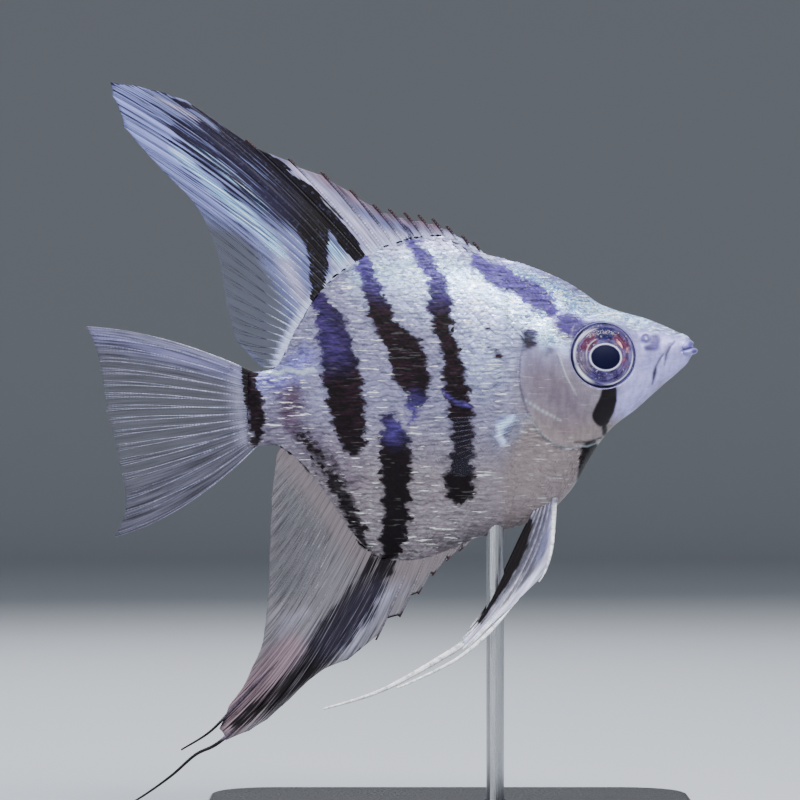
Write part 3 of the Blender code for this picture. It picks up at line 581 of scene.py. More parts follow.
TAIL_ROOT_BAR = ((-27.5, 4.9, 0.85), (-26.8, 1.35, 1.15), (-26.2, -1.2, 1.3), (-26, -4.05, 1.05),
    (-26.3, -5.9, 0.5))
BODY_PATTERN = Pattern((
    bar(((-17.7, 13.5, 1.2), (-16.6, 12.15, 1.5), (-15.7, 9.45, 2.15), (-15.1, 6.75, 2.3),
        (-14.6, 4.05, 2.7), (-14.2, 1.35, 2.6), (-13.7, -1.35, 2.5), (-13.2, -4.05, 2.1),
        (-12.9, -5.4, 1.7), (-12.55, -6.75, 0.95)), 0.5),
    bar(((-14, 22.3, 0.8), (-12.3, 20.25, 1.2), (-10.7, 16.2, 1.2), (-9.9, 13.5, 1.55), (-9, 10.8, 1.7),
        (-8.3, 9.45, 1.55), (-5.9, 6.75, 2.5), (-5.2, 4.05, 2.5), (-4.6, 2.7, 2.15), (-4.2, 1.35, 1.5),
        (-4.3, 0, 1.35)), 0.5),
    bar(((-4.4, -0.4, 1), (-5.4, -2.8, 0.2)), 0.9, 0.75),
    bar(((-5.1, 21.6, 0.75), (-3.4, 18.9, 0.95), (-1.6, 16.2, 1.1), (-1.35, 13.5, 1.75),
        (-0.9, 10.8, 1.55), (-0.9, 9.45, 1.15), (0.2, 6.75, 1.15), (0.6, 4.05, 1.55), (0.8, 1.35, 1.8),
        (1.2, 0, 1.6), (1.6, -2.7, 1.65), (1.75, -5.4, 1.5), (1.6, -8.1, 1.5), (1.3, -10.8, 2.1),
        (1.55, -12.15, 1.8)), 0.5),
    bar(((-8.2, -2.4, 0.95), (-7.6, -4.05, 1.4), (-7.3, -6.1, 2.15), (-7.15, -9.45, 2.15),
        (-7.2, -12.15, 1.8), (-7.15, -16.2, 1.75), (-7.6, -18.9, 1.7), (-8.2, -21.6, 0.9),
        (-9.7, -24.3, 1.1)), 0.5),
    bar(((-20, -4.6, 0.7), (-17.6, -7.8, 1.1), (-15.2, -11.3, 1.15)), 1.1, 0.8),
    bar(((-16.6, -9.4, 0.6), (-15, -11.8, 1), (-13.3, -14.9, 1), (-12.2, -17.6, 0.9), (-11.5, -20, 0.8)),
        0.7, 0.95),
    bar(((3.9, 18.4, 1), (6.1, 16.9, 1.5), (8.4, 15.8, 1.3), (10.8, 14.6, 1.4), (12.6, 13.2, 1.6),
        (13.4, 12, 1)), 0.5, 1),
    bar(((15.3, 10.3, 1.1), (16.5, 9.8, 1.6), (17.6, 9.6, 1.2)), 0.6, 0.95),
    bar(((21.3, 1.2, 1.05), (21.2, 0, 1.2), (20.75, -1.2, 1.35), (20.3, -2.1, 1.3), (20.4, -2.5, 1.1)),
        0.16, 1, True),
    bar(((20.75, -3.7, 0.4), (20.85, -4.5, 0.35)), 0.2, 1, True),
    bar(((18.9, -6.6, 1.2), (18.4, -7.8, 0.95), (17.8, -9.3, 0.6), (17.3, -10.9, 0.25)), 0.25, 1, True),
    bar(((16.6, -5.6, 0.12), (18.4, -5.7, 0.16), (20.4, -5.1, 0.1)), 0.16, 0.9, True),
    # Gleam lines along the gill cover's edges and the cheek's edge: painted highlights on the raised
    # rims.
    gleam(((9.7, 0.2, 0), (12, -1.3, 0.04), (14.9, -2.8, 0)), 0.26, 0.6, True),
    gleam(((10.4, -2, 0), (11.9, -4.3, 0.02), (14.3, -6.1, 0), (17, -6.5, 0)), 0.22, 0.6, True),
    gleam(((14.4, 6.3, 0), (15.5, 3.2, 0.03), (16.9, 0.6, 0)), 0.16, 0.6, True),
    warm(((12, 3.5, 2.4), (15.5, -1, 2.8)), 2.4, 0.46),
    # Painted highlight along the top of the tail stalk.
    gleam(((-18.5, 3.9, 0.3), (-21.4, 3.9, 0.3), (-25.4, 3.7, 0.2)), 0.4, 0.5),
    bar(((10.9, 8.9, 0.8), (10.3, 7.3, 0.75)), 0.4, 0.95),
    bar(((5.7, 7.4, 0.4), (6.5, 5.8, 0.4), (7.2, 4.6, 0.3)), 0.6, 0.6),
    bar(((5.2, 9.6, 0.4), (6.2, 9, 0.4)), 0.5, 0.45),
    bar(((13.1, 6.75, 0.5), (13.1, 6.6, 0.5)), 0.5, 0.6),
    bar(TAIL_ROOT_BAR, 0.3),
    # Dark lines in the jaw creases, the mouth slit, the groove over the upper lip and round the nostril:
    # painted shade in the grooves.
    bar(((30.2, 7.9, 0.08), (29.6, 7.1, 0.18), (29.1, 6.2, 0.18), (28.8, 4.7, 0.05)), 0.2, 0.9, True),
    bar(((28.8, 6.4, 0.06), (28.2, 5.5, 0.14), (27.7, 4.6, 0.14), (27.5, 3.7, 0.28), (27.2, 2.1, 0.06)),
        0.2, 0.95, True),
    bar(((33.7, 7.15, 0.05), (32.4, 6.95, 0.07), (31.2, 6.6, 0.06)), 0.16, 0.9, True),
    bar(((32.7, 8.2, 0.12), (32.2, 7.7, 0.16), (31.5, 7, 0.12)), 0.24, 0.7, True),
    bar(((25.9, 8.35, 0.1), (26.05, 8.62, 0.14), (26.35, 8.72, 0.16), (26.65, 8.62, 0.14),
        (26.8, 8.35, 0.1)), 0.16, 0.9, True),
    # Pale dot in the nostril: a painted highlight.
    gleam(((26.35, 8.25, 0.14), (26.35, 8.22, 0.14)), 0.14, 0.8, True),
    bar(((26, 8.1, 0.5), (27.6, 8.1, 0.7), (27.5, 7.2, 0.6), (26.4, 7, 0.4)), 0.3, 0.85, True),
    bar(((24, 11, 0.5), (25.2, 10.4, 0.5)), 0.6, 0.35),
    violet(((-24, 24, 6.5), (-10, 22, 6.5), (5, 19.5, 6), (16, 13.5, 5), (22, 11, 2.5)), 3.5),
    violet(((33.6, 7.2, 1.2), (31.8, 7.2, 1)), 0.5, 0.7),
    violet(((26, 8.2, 0.9), (27.7, 7.8, 1.1)), 0.4),
    violet(((-18, 13, 2), (-15.6, 7, 2.6)), 2.5, 0.34),
    violet(((-4.6, -1, 1.6), (-7.4, -4, 1.6)), 1.6, 0.6),
    violet(((2.6, -1, 0.25), (0.8, 0, 0.35), (-0.6, 1, 0.2)), 0.3, 0.85),
    warm(((-21.4, 0.3, 1.9), (-21.4, -3, 1.9)), 1.5, 1),
    warm(((-26, -3, 2), (-20, -4, 2.4), (-14, -10, 2.6)), 2.2, 0.5),
    lilac(((-27, 2.6, 1.6), (-22.5, 3, 1.8), (-19.5, 5.5, 1.6)), 1.6, 0.9),
    lilac(((34, 6.5, 3), (27, 7.5, 3.6), (23, 12, 1.5)), 2.6, 0.3),
    lilac(((28, 3.5, 1.6), (24, -1, 1.4)), 2, 0.2),
    lilac(((8, 16.6, 2), (12, 14, 3), (18, 12, 2)), 2, 0.8),
    cyan(((-12, 17, 1), (-2, 17.6, 1.9), (6, 15, 2), (11, 10.5, 1.4)), 2.2, 0.4),
    cyan(((12.2, 10.6, 1.4), (13, 8.2, 1), (15.2, 7.4, 0.5)), 1.2, 0.55),
    # Cyan along the forehead's profile: the skin's own cyan, with a painted highlight along the edge.
    cyan(((9, 17, 0.9), (15, 13.6, 1.6), (17.4, 12.6, 1.2), (22.5, 11.4, 0.8), (26.5, 10.4, 0.5)), 1,
        0.5),
    pale(((11.4, 11.4, 1.2), (12.6, 8.6, 1.2), (14.6, 7.4, 0.8)), 1.2, 0.9),
    pale(((-27, 2, 1.2), (-23, 3.4, 1)), 1.2, 0.6),
    pale(((-9, 16, 3), (0, 15, 4.5), (5.6, 12, 3.8), (4, 5, 2.8)), 3.6, 1),
    # Pale band under the forehead's profile: pale skin, with a painted highlight along the edge.
    pale(((16, 13, 1.2), (20, 12, 1.4), (23, 10.8, 1.5), (27, 9.8, 1.1), (30.5, 8.6, 0.8)), 1, 1),
    # Painted highlight under the lower edge of the gill cover.
    gleam(((16.7, -6.15, 0), (18.4, -6.25, 0.05), (20.3, -5.6, 0)), 0.14, 0.7, True),
    pale(((33, 6.6, 3.4), (27, 5.4, 3.4), (23.6, -0.6, 1.8)), 1.6, 0.95),
    lilac(((27, 7.6, 0.9), (26.6, 4.6, 0.9)), 0.8, 0.45),
    lilac(((28.3, 6.2, 0.2), (28.2, 4.4, 0.5)), 0.6, 0.3),
    warm(((9.6, 3, 0.3), (10.2, -0.8, 0.4)), 0.7, 0.45),
))
DORSAL_PATTERN = Pattern((
    bar(((-21.9, 27.4, 2.4), (-19.2, 24.6, 2.3), (-18.1, 21.9, 1.8), (-17.8, 19.2, 1.35),
        (-17.8, 16.9, 1.2), (-17.8, 14.8, 1), (-17.9, 12.4, 1)), 0.5, 1),
    bar(((-33.5, 37.3, 0.8), (-29, 33.4, 2.4), (-25.4, 30.4, 2.9), (-21.9, 27.4, 3)), 1, 0.86),
    bar(((-20.2, 28.6, 1.2), (-16.9, 25.2, 1.25), (-14.2, 22.1, 1.1), (-12.4, 19.4, 0.9)), 0.4),
    bar(((-21.8, 31.3, 0.3), (-24, 32.3, 0.5), (-27, 34.6, 0.5), (-30.1, 36.9, 0.45), (-33.2, 38.7, 0.4),
        (-35.9, 40.1, 0.35), (-37.5, 40.9, 0.2)), 0.3),
    bar(((-37, 41, 0.25), (-40.3, 42.2, 0.25), (-43.6, 42.9, 0.3), (-46.4, 43.2, 0.4)), 0.3, 0.85),
    bar(((-22, 26.4, 3.6), (-29, 31.4, 3.4), (-36, 36.4, 2.4)), 1.4, 0.66),
    bar(((-36, 37.4, 2.6), (-46, 42, 2.8)), 1.4, 0.36),
    bar(((-24.5, 21.6, 0.8), (-29.4, 25.6, 1), (-36.5, 31.6, 1)), 1, 0.42),
    bar(((-5.8, 23.4, 0.5), (-5, 20.6, 0.8)), 0.6, 0.6),
    violet(((-5.8, 23.4, 1.2), (-5, 20.6, 1.4)), 0.6),
    violet(((-46, 42, 4), (-36, 38, 3), (-24, 26, 3)), 3, 0.6),
    lilac(((-45, 41, 3), (-40, 36, 2.6), (-33, 28.6, 2), (-26, 22, 1.4)), 1.6, 1),
    pale(((-40.2, 41.2, 0.05), (-36.6, 39.4, 0.2), (-33.7, 37.6, 0.3), (-30.6, 35.4, 0.3),
        (-27.4, 33, 0.1)), 0.22, 1, True),
    pale(((-21.3, 31.6, 0.5), (-18, 28.4, 1), (-14.2, 25, 1.2), (-10.8, 21.9, 1.6), (-7, 21.3, 1.4),
        (0, 21.6, 1.1)), 0.9, 0.85),
    pale(((-19.6, 13, 0.7), (-21.6, 17.2, 0.9), (-23.4, 20.6, 0.6)), 0.9, 0.7),
    pale(((-15.4, 18.6, 0.8), (-13.4, 18.4, 1.4)), 0.8, 0.7),
    warm(((-27.6, 36, 0.2), (-24, 33.6, 0.5), (-21, 32.2, 0.6), (-17, 29.9, 0.9), (-13, 27.6, 1),
        (-8, 25.4, 1.2), (-1, 23.4, 1.1)), 0.8, 0.85),
    cyan(((-37.6, 34, 0.3), (-34.4, 31.2, 0.6), (-31, 28.2, 0.8)), 0.6, 0.85),
    cyan(((-31.8, 28.6, 0.7), (-28.6, 25.9, 1), (-25.4, 22.8, 0.8), (-22.6, 19.6, 0.5)), 0.6, 1),
    cyan(((-35.4, 35.4, 0.2), (-31, 31.4, 0.4), (-28.3, 29, 0.5), (-25, 26, 0.3)), 0.5, 0.9),
    cyan(((-27, 31.4, 0.2), (-23.4, 27.6, 0.4), (-21.4, 25, 0.3)), 0.5, 0.6),
    cyan(((-16.3, 21.3, 0.3), (-15.2, 19.8, 0.9), (-14.4, 18.4, 0.8)), 0.4, 1),
    clear(((-23.4, 6, 3), (-27, 12, 5), (-30.5, 18.6, 5), (-34.5, 23.3, 2.2)), 1.4, 1),
), wander=0.12)
ANAL_PATTERN = Pattern((
    bar(((-7.4, -15.3, 1.8), (-7.9, -20.2, 1.5), (-9, -22.8, 1.4), (-10, -24.6, 1.1)), 0.9, 1),
    bar(((-9.6, -22.6, 2.2), (-12.6, -27.6, 2.9), (-16, -32.4, 2.6), (-19.5, -36.6, 2), (-24, -40.6, 1.6),
        (-29, -44.2, 1)), 1.6, 0.84),
    bar(((-11.6, -19, 0.9), (-13.6, -24.6, 1.3), (-17, -30.2, 1.4)), 1.6, 0.5),
    bar(((-15.4, -11, 0.3), (-13.4, -15, 0.5), (-12, -18.6, 0.8)), 0.8, 0.6),
    bar(((-10.6, -32.6, 0.15), (-13.9, -35.2, 0.2), (-15.4, -36.1, 0.3), (-20.3, -39.9, 0.35),
        (-24.3, -43.4, 0.4), (-27.5, -45.7, 0.45), (-31, -46.6, 0.5), (-37.8, -50.4, 1.2),
        (-44.6, -55.6, 1.2)), 0.3, 1),
    bar(((-19, -12, 3), (-20.6, -24, 3.4)), 2.4, 0.2),
    bar(((-23.6, -36, 0.1), (-27, -39.6, 0.2), (-30, -43, 0.3), (-37, -48, 0.6)), 0.4, 0.9),
    bar(((-22, -35, 2), (-30, -43.6, 1.8)), 1, 0.34),
    violet(((-10.4, -26, 2.2), (-16, -33, 2.4)), 2, 0.7),
    warm(((-21.5, -33.6, 2), (-27, -40, 2.6), (-33, -46, 2)), 1.6, 0.95),
    pale(((-7.4, -24.4, 0.4), (-9.4, -27.2, 0.7), (-12.4, -32, 0.65), (-14.2, -34.4, 0.2)), 0.7, 0.5),
    pale(((-22.8, -31.6, 0.3), (-22, -30, 0.6), (-19.6, -28.8, 0.4)), 1.3, 0.55),
    lilac(((-6.6, -23.4, 1.2), (-14, -33, 1.4)), 1.6, 0.5),
    lilac(((-17, -32, 1.4), (-23, -37, 1.4)), 1.6, 0.3),
    clear(((-19.4, -11.5, 3), (-20.4, -17.5, 4.2), (-21.4, -24, 3.6)), 2, 1),
), wander=0.12)
TAIL_PATTERN = Pattern((
    bar(TAIL_ROOT_BAR, 0.3, 1),
    bar(((-29.6, 4.6, 0.15), (-30.4, 3.4, 0.3)), 0.3, 0.5),
    bar(((-30.6, 2.6, 0.1), (-31, 2, 0.15)), 0.3, 0.35),
    lilac(((-28, 3.4, 1), (-36, 5.8, 1.1), (-48, 8.8, 0.9)), 1.4, 0.8),
    pale(((-27.5, 4.2, 0.3), (-34, 6.4, 0.4), (-42, 8.4, 0.3), (-50, 9.5, 0.1)), 0.5, 0.32),
    pale(((-28.8, 3, 0.8), (-28.6, -1, 0.9), (-27.8, -5.4, 0.6)), 1.6, 0.45),
    clear(((-35, -1, 5), (-44, -3, 9)), 3, 1),
), wander=0.08)
BREAST_PATTERN = Pattern((
    # The cyan and pale strokes at the fan's root are a painted highlight on the fin's base; the lilac
    # over the rest is a painted bluish sheen on the clear membrane.
    cyan(((8.8, -1.6, 0.3), (7, -3.2, 0.7), (6.6, -5, 0.3)), 0.7, 0.8),
    pale(((9, -1.4, 0.2), (7.8, -2.6, 0.5), (6.8, -3.6, 0.5), (6.4, -4.8, 0.45), (7.1, -5.9, 0.25)), 0.35,
        1),
    lilac(((7, -3, 4), (-7, -5, 6)), 3, 0.9),
    clear(((4.4, -4.5, 2), (-7, -5, 7)), 1.6, 1),
), wander=0.1)
PELVIC_PATTERN = Pattern((
    pale(((14.3, -14.4, 0.5), (13.8, -19.3, 0.55), (12.4, -22.6, 0.5), (9.2, -26.2, 0.55),
        (5.6, -30, 0.7), (1.9, -33.6, 1.6), (-8, -39, 2), (-17, -42, 2)), 0.3, 1),
    lilac(((14, -15, 0.8), (12.6, -21, 1)), 1.2, 0.6),
    pale(((9.6, -23.6, 0.1), (6.6, -27.4, 0.25), (4.2, -30.2, 0.4)), 0.4, 0.7),
    bar(((10.6, -16.2, 0.5), (9.7, -18.9, 1), (8.3, -21.7, 1.1), (6.6, -24.8, 0.85), (4.9, -27.6, 0.6),
        (3.9, -29.8, 0.3)), 0.5, 1),
    clear(((12.4, -15.4, 1), (11.4, -19.6, 1.1), (9.4, -23.4, 0.9), (6.4, -27.4, 0.6)), 0.6, 1),
), wander=0.06)


EVEN = (1.0, 1.0, 1.0)


@dataclass
class Bench:
    """Short ways to fill one node tree."""

    tree: bpy.types.NodeTree

    def node(self, kind: str, **settings: object) -> bpy.types.Node:
        """A new node with its settings."""
        made = self.tree.nodes.new(kind)
        for name, value in settings.items():
            setattr(made, name, value)
        return made

    def feed(self, socket: Plug, value: object) -> None:
        """Links a socket to another one, or sets its value."""
        if isinstance(value, Plug):
            self.tree.links.new(value, socket)
        elif socket.type == "RGBA":
            socket.default_value = (*value, 1.0)
        else:
            socket.default_value = value

    def maths(self, operation: str, first: object, second: object = 0.0) -> Plug:
        """The result of one sum."""
        made = self.node("ShaderNodeMath", operation=operation)
        self.feed(made.inputs[0], first)
        self.feed(made.inputs[1], second)
        return made.outputs[0]

    def times(self, first: object, second: object) -> Plug:
        """The product of two values."""
        return self.maths("MULTIPLY", first, second)

    def plus(self, first: object, second: object) -> Plug:
        """Two values together."""
        return self.maths("ADD", first, second)

    def less(self, first: object, second: object) -> Plug:
        """The first value less the second."""
        return self.maths("SUBTRACT", first, second)

    def most(self, first: object, second: object) -> Plug:
        """The larger of two values."""
        return self.maths("MAXIMUM", first, second)

    def least(self, first: object, second: object) -> Plug:
        """The smaller of two values."""
        return self.maths("MINIMUM", first, second)

    def spots(self, stretch: Sequence[float], scale: float, detail: float, low: float, high: float,
            to_low: float = 0.0, to_high: float = 1.0) -> Plug:
        """Random spots on the object, stretched along its axes and cut between low and high."""
        return self.remap(self.noise(self.place(stretch), scale, detail), low, high, to_low, to_high)

    def wear(self, socket: str, value: object) -> None:
        """Feeds one input of the material's main shader."""
        self.feed(self.tree.nodes["Principled BSDF"].inputs[socket], value)

    def remap(self, value: object, low: float, high: float, to_low: float = 0.0,
            to_high: float = 1.0) -> Plug:
        """A value stretched from one range to another and held inside it."""
        made = self.node("ShaderNodeMapRange")
        for socket, fed in zip(made.inputs, (value, low, high, to_low, to_high)):
            self.feed(socket, fed)
        return made.outputs[0]

    def between(self, share: object, low: float, high: float) -> Plug:
        """The value at a share of the way from low to high."""
        return self.remap(share, 0.0, 1.0, low, high)

    def spread(self, noise: object, low: float, high: float) -> Plug:
        """A noise whose usual range is stretched from low to high."""
        return self.remap(noise, 0.36, 0.64, low, high)

    def mix(self, share: object, low: object, high: object) -> Plug:
        """A colour between two, by a share."""
        made = self.node("ShaderNodeMix", data_type="RGBA")
        self.feed(made.inputs[0], share)
        self.feed(made.inputs[6], low)
        self.feed(made.inputs[7], high)
        return made.outputs[2]

    def scaled(self, colour: object, amount: object) -> Plug:
        """A colour made lighter or darker by an amount."""
        made = self.node("ShaderNodeVectorMath", operation="SCALE")
        self.feed(made.inputs[0], colour)
        self.feed(made.inputs["Scale"], amount)
        return made.outputs[0]

    def shade(self, name: str) -> Plug:
        """One of the shades that the mesh carries."""
        return self.node("ShaderNodeAttribute", attribute_name=name).outputs["Fac"]

    def place(self, stretch: Sequence[float] = EVEN) -> Plug:
        """The place on the object, in millimetres, stretched along its axes."""
        where = self.node("ShaderNodeTexCoord").outputs["Object"]
        made = self.node("ShaderNodeVectorMath", operation="MULTIPLY")
        self.feed(made.inputs[0], where)
        made.inputs[1].default_value = tuple(s / MM for s in stretch)
        return made.outputs[0]

    def noise(self, where: Plug, scale: object, detail: float = 3.0) -> Plug:
        """Soft random values round 0.5."""
        made = self.node("ShaderNodeTexNoise")
        self.feed(made.inputs["Vector"], where)
        self.feed(made.inputs["Scale"], scale)
        made.inputs["Detail"].default_value = detail
        return made.outputs["Fac"]

    def bump(self, height: Plug, depth: float, strength: float = 1.0) -> Plug:
        """A normal bent by a height, whose full range is depth millimetres."""
        made = self.node("ShaderNodeBump")
        made.inputs["Strength"].default_value = strength
        made.inputs["Distance"].default_value = depth * MM
        self.feed(made.inputs["Height"], height)
        return made.outputs[0]

    def group(self, tree: bpy.types.NodeTree, **values: object) -> bpy.types.Node:
        """A placed group, with its inputs fed by name."""
        made = self.node("ShaderNodeGroup", node_tree=tree)
        for name, value in values.items():
            self.feed(made.inputs[name.replace("_", " ").capitalize()], value)
        return made


def new_group(name: str, inputs: dict[str, float], outputs: dict[str, str]) -> tuple[bpy.types.NodeTree,
        Bench, bpy.types.Node, bpy.types.Node]:
    """Starts a shader group.

    Args:
        name: The group's name.
        inputs: Default value of each input.
        outputs: Kind of each output, Float or Color.

    Returns:
        The tree, a bench on it, and its input and output nodes.
    """
    tree = bpy.data.node_groups.new(name, "ShaderNodeTree")
    for label, value in inputs.items():
        socket = tree.interface.new_socket(name=label, in_out="INPUT", socket_type="NodeSocketFloat")
        socket.default_value = value
    for label, kind in outputs.items():
        tree.interface.new_socket(name=label, in_out="OUTPUT", socket_type="NodeSocket" + kind)
    bench = Bench(tree)
    return tree, bench, bench.node("NodeGroupInput"), bench.node("NodeGroupOutput")


@dataclass(frozen=True)
class Inks:
    """The colours that the masks stand for."""

    silver: Colour = (0.27, 0.26, 0.42)
    frost: Colour = (0.41, 0.46, 0.76)
    bright: Colour = (0.55, 0.52, 0.98)
    lilac: Colour = (0.17, 0.16, 0.50)
    warm: Colour = (0.11, 0.07, 0.12)
    cyan: Colour = (0.24, 0.60, 0.92)
    beige: Colour = (0.25, 0.205, 0.21)
    brown_black: Colour = (0.004, 0.002, 0.0035)
    maroon: Colour = (0.018, 0.006, 0.012)
    violet: Colour = (0.075, 0.048, 0.25)
    # spark and the dash colour are painted highlights: glints, gleam lines and bright dashes.
    spark: Colour = (0.78, 0.95, 1.0)
    dash: Colour = (0.95, 0.97, 1.0)


INKS = Inks()
BODY_SHADES = ("bar", "violet", "cyan", "lilac", "warm", "pale", "low", "calm", "gleam")
ROW_HEIGHT = 0.72


@cache
def markings_group() -> bpy.types.NodeTree:
    """The fish's colours out of its masks, with painted glints, highlights and row shade, shared by skin,
    scales, lips and eye rims.
    """
    tree, bench, given, result = new_group(
        "fish_markings",
        {**{name.capitalize(): 0.0 for name in BODY_SHADES}, "Tone": 0.5},
        {"Color": "Color", "Dark": "Float"},
    )
    ink = given.outputs
    lively = bench.between(ink["Calm"], 1.0, 0.12)
    streaks = bench.noise(bench.place((0.55, 0.55, 2.8)), 1.0, 3.0)
    height = bench.node("ShaderNodeSeparateXYZ")
    bench.feed(height.inputs[0], bench.place())
    # Thin dark lines along the scale rows, out of a wavy sine of height: painted shade under the scale
    # edges.
    drift = bench.spots((0.3, 0.3, 0.45), 1.0, 2.0, 0.3, 0.7, 0.0, 9.0)
    phase = bench.plus(bench.times(height.outputs["Z"], 2 * math.pi / ROW_HEIGHT), drift)
    rows = bench.maths("SINE", phase)
    row_edge_shade = bench.times(bench.remap(rows, 0.1, 0.9), lively)
    ground = bench.mix(ink["Low"], INKS.silver, INKS.beige)
    ground = bench.mix(ink["Pale"], ground, bench.mix(ink["Calm"], INKS.frost, INKS.bright))
    for name in ("Lilac", "Warm", "Cyan"):
        ground = bench.mix(ink[name], ground, getattr(INKS, name.lower()))
    swing = bench.times(bench.spread(streaks, -0.28, 0.28), lively)
    tone = bench.plus(swing, bench.between(ink["Tone"], 0.86, 1.18))
    tone = bench.less(tone, bench.times(row_edge_shade, 0.26))
    ground = bench.scaled(ground, tone)
    glittery = bench.remap(ink["Cyan"], 0.0, 0.5)
    bluish = bench.most(glittery, ink["Lilac"])
    deep = bench.most(bench.times(ink["Pale"], 0.35), bluish)
    specks = bench.spots((0.9, 0.9, 1.7), 2.2, 3.0, 0.52, 0.64)
    specks = bench.times(specks, bench.times(deep, bench.between(lively, 0.1, 0.75)))
    ground = bench.mix(specks, ground, INKS.violet)
    # Pale dabs on the crests between the row lines, and cyan glitter: painted glints, mixed towards the
    # spark colour below.
    crest_highlights = bench.spots((0.7, 0.7, 3.4), 1.5, 2.0, 0.53, 0.61)
    crest_highlights = bench.times(crest_highlights, bench.between(ink["Pale"], 0.12, 0.95))
    crest_highlights = bench.times(crest_highlights, bench.remap(rows, -0.2, 0.8, 1.0, 0.25))
    glitter = bench.spots((1.0, 1.0, 1.4), 2.6, 2.0, 0.54, 0.60)
    glitter = bench.times(glitter, glittery)
    painted_glints = bench.times(bench.most(crest_highlights, glitter), lively)
    border = bench.times(ink["Bar"], bench.less(1.0, ink["Bar"]))
    ragged = bench.times(bench.times(border, lively), bench.spread(streaks, -2.2, 2.2))
    bar = bench.node("ShaderNodeClamp")
    bench.feed(bar.inputs[0], bench.plus(ink["Bar"], ragged))
    bar = bar.outputs[0]
    high = bench.less(1.0, ink["Low"])
    reddish = bench.times(bench.remap(streaks, 0.46, 0.62), bench.times(high, lively))
    dark = bench.mix(reddish, INKS.brown_black, INKS.maroon)
    dark = bench.mix(ink["Violet"], dark, bench.scaled(INKS.violet, bench.spread(streaks, 0.35, 1.4)))
    hidden = bench.times(bar, bench.between(ink["Violet"], 1.0, 0.86))
    painted_glints = bench.times(painted_glints, bench.less(1.0, hidden))
    # Short bright dashes along x: painted highlights on the scales' upper edges.
    highlight_dashes = bench.spots((0.36, 0.36, 3.6), 1.0, 2.0, 0.645, 0.675)
    highlight_dashes = bench.times(bench.times(highlight_dashes, lively), bench.between(bar, 1.0, 0.04))
    # Mixes in the painted glints.
    colour = bench.mix(painted_glints, bench.mix(bar, ground, dark), INKS.spark)
    # The gleam strokes and the dashes are painted highlights, mixed in last.
    colour = bench.mix(ink["Gleam"], bench.mix(highlight_dashes, colour, INKS.dash), INKS.spark)
    bench.feed(result.inputs["Color"], colour)
    bench.feed(result.inputs["Dark"], bar)
    return tree


@cache
def grain_group() -> bpy.types.NodeTree:
    """Fine mottling and pores of wet skin, as a value for tone and a height for bump."""
    tree, bench, given, result = new_group("skin_grain", {"Coarse": 1.2, "Fine": 9.0},
        {"Value": "Float", "Height": "Float"})
    where = bench.place()
    patches = bench.noise(where, given.outputs["Coarse"], 4.0)
    pores = bench.noise(where, given.outputs["Fine"], 2.0)
    blend = bench.plus(bench.times(patches, 0.65), bench.times(pores, 0.35))
    bench.feed(result.inputs["Value"], blend)
    bench.feed(result.inputs["Height"], pores)
    return tree


@cache
def streak_group() -> bpy.types.NodeTree:
    """Streaks that run along fin rays, out of the place across and along the fin."""
    tree, bench, given, result = new_group("fin_streaks", {"Across": 0.0, "Along": 0.0, "Density": 3.0},
        {"Value": "Float"})
    joined = bench.node("ShaderNodeCombineXYZ")
    bench.feed(joined.inputs["X"], bench.times(given.outputs["Across"], given.outputs["Density"]))
    bench.feed(joined.inputs["Y"], bench.times(given.outputs["Along"], 3.0))
    value = bench.noise(joined.outputs[0], 1.0, 3.0)
    bench.feed(result.inputs["Value"], bench.remap(value, 0.32, 0.68))
    return tree


@dataclass(frozen=True)
class Finish:
    """How one kind of surface looks."""

    name: str

    def paint(self, bench: Bench) -> None:
        """Fills the tree of the material."""

    def material(self) -> Material:
        """Builds the finish."""
        material = bpy.data.materials.new(self.name)
        material.use_nodes = True
        self.paint(Bench(material.node_tree))
        return material


@dataclass(frozen=True)
class SkinFinish(Finish):
    """Wet, silvery skin that carries the fish's markings."""

    name: str = "wet_skin"
    metallic: float = 0.35
    roughness: float = 0.36
    dark_roughness: float = 0.5
    coat: float = 0.1
    pore_depth: float = 0.03
    coarse: float = 1.1
    fine: float = 7.0

    def paint(self, bench: Bench) -> None:
        """Fills the tree of the material."""
        grain = bench.group(grain_group(), coarse=self.coarse, fine=self.fine)
        marks = bench.group(markings_group(), tone=grain.outputs["Value"],
            **{name: bench.shade(name) for name in BODY_SHADES})
        fine = bench.spots(EVEN, 9.0, 2.0, 0.36, 0.64, -0.08, 0.08)
        broad = bench.spots((1.0, 1.0, 0.4), 1.5, 3.0, 0.36, 0.64, 0.88, 1.12)
        bench.wear("Base Color", bench.scaled(marks.outputs["Color"], bench.plus(fine, broad)))
        bench.wear("Metallic", bench.between(marks.outputs["Dark"], self.metallic, 0.0))
        bench.wear("Roughness", bench.between(marks.outputs["Dark"], self.roughness, self.dark_roughness))
        bench.wear("Normal", bench.bump(grain.outputs["Height"], self.pore_depth))
        bench.wear("Specular IOR Level", 0.15)
        bench.wear("Coat Weight", self.coat)
        bench.wear("Coat Roughness", 0.12)


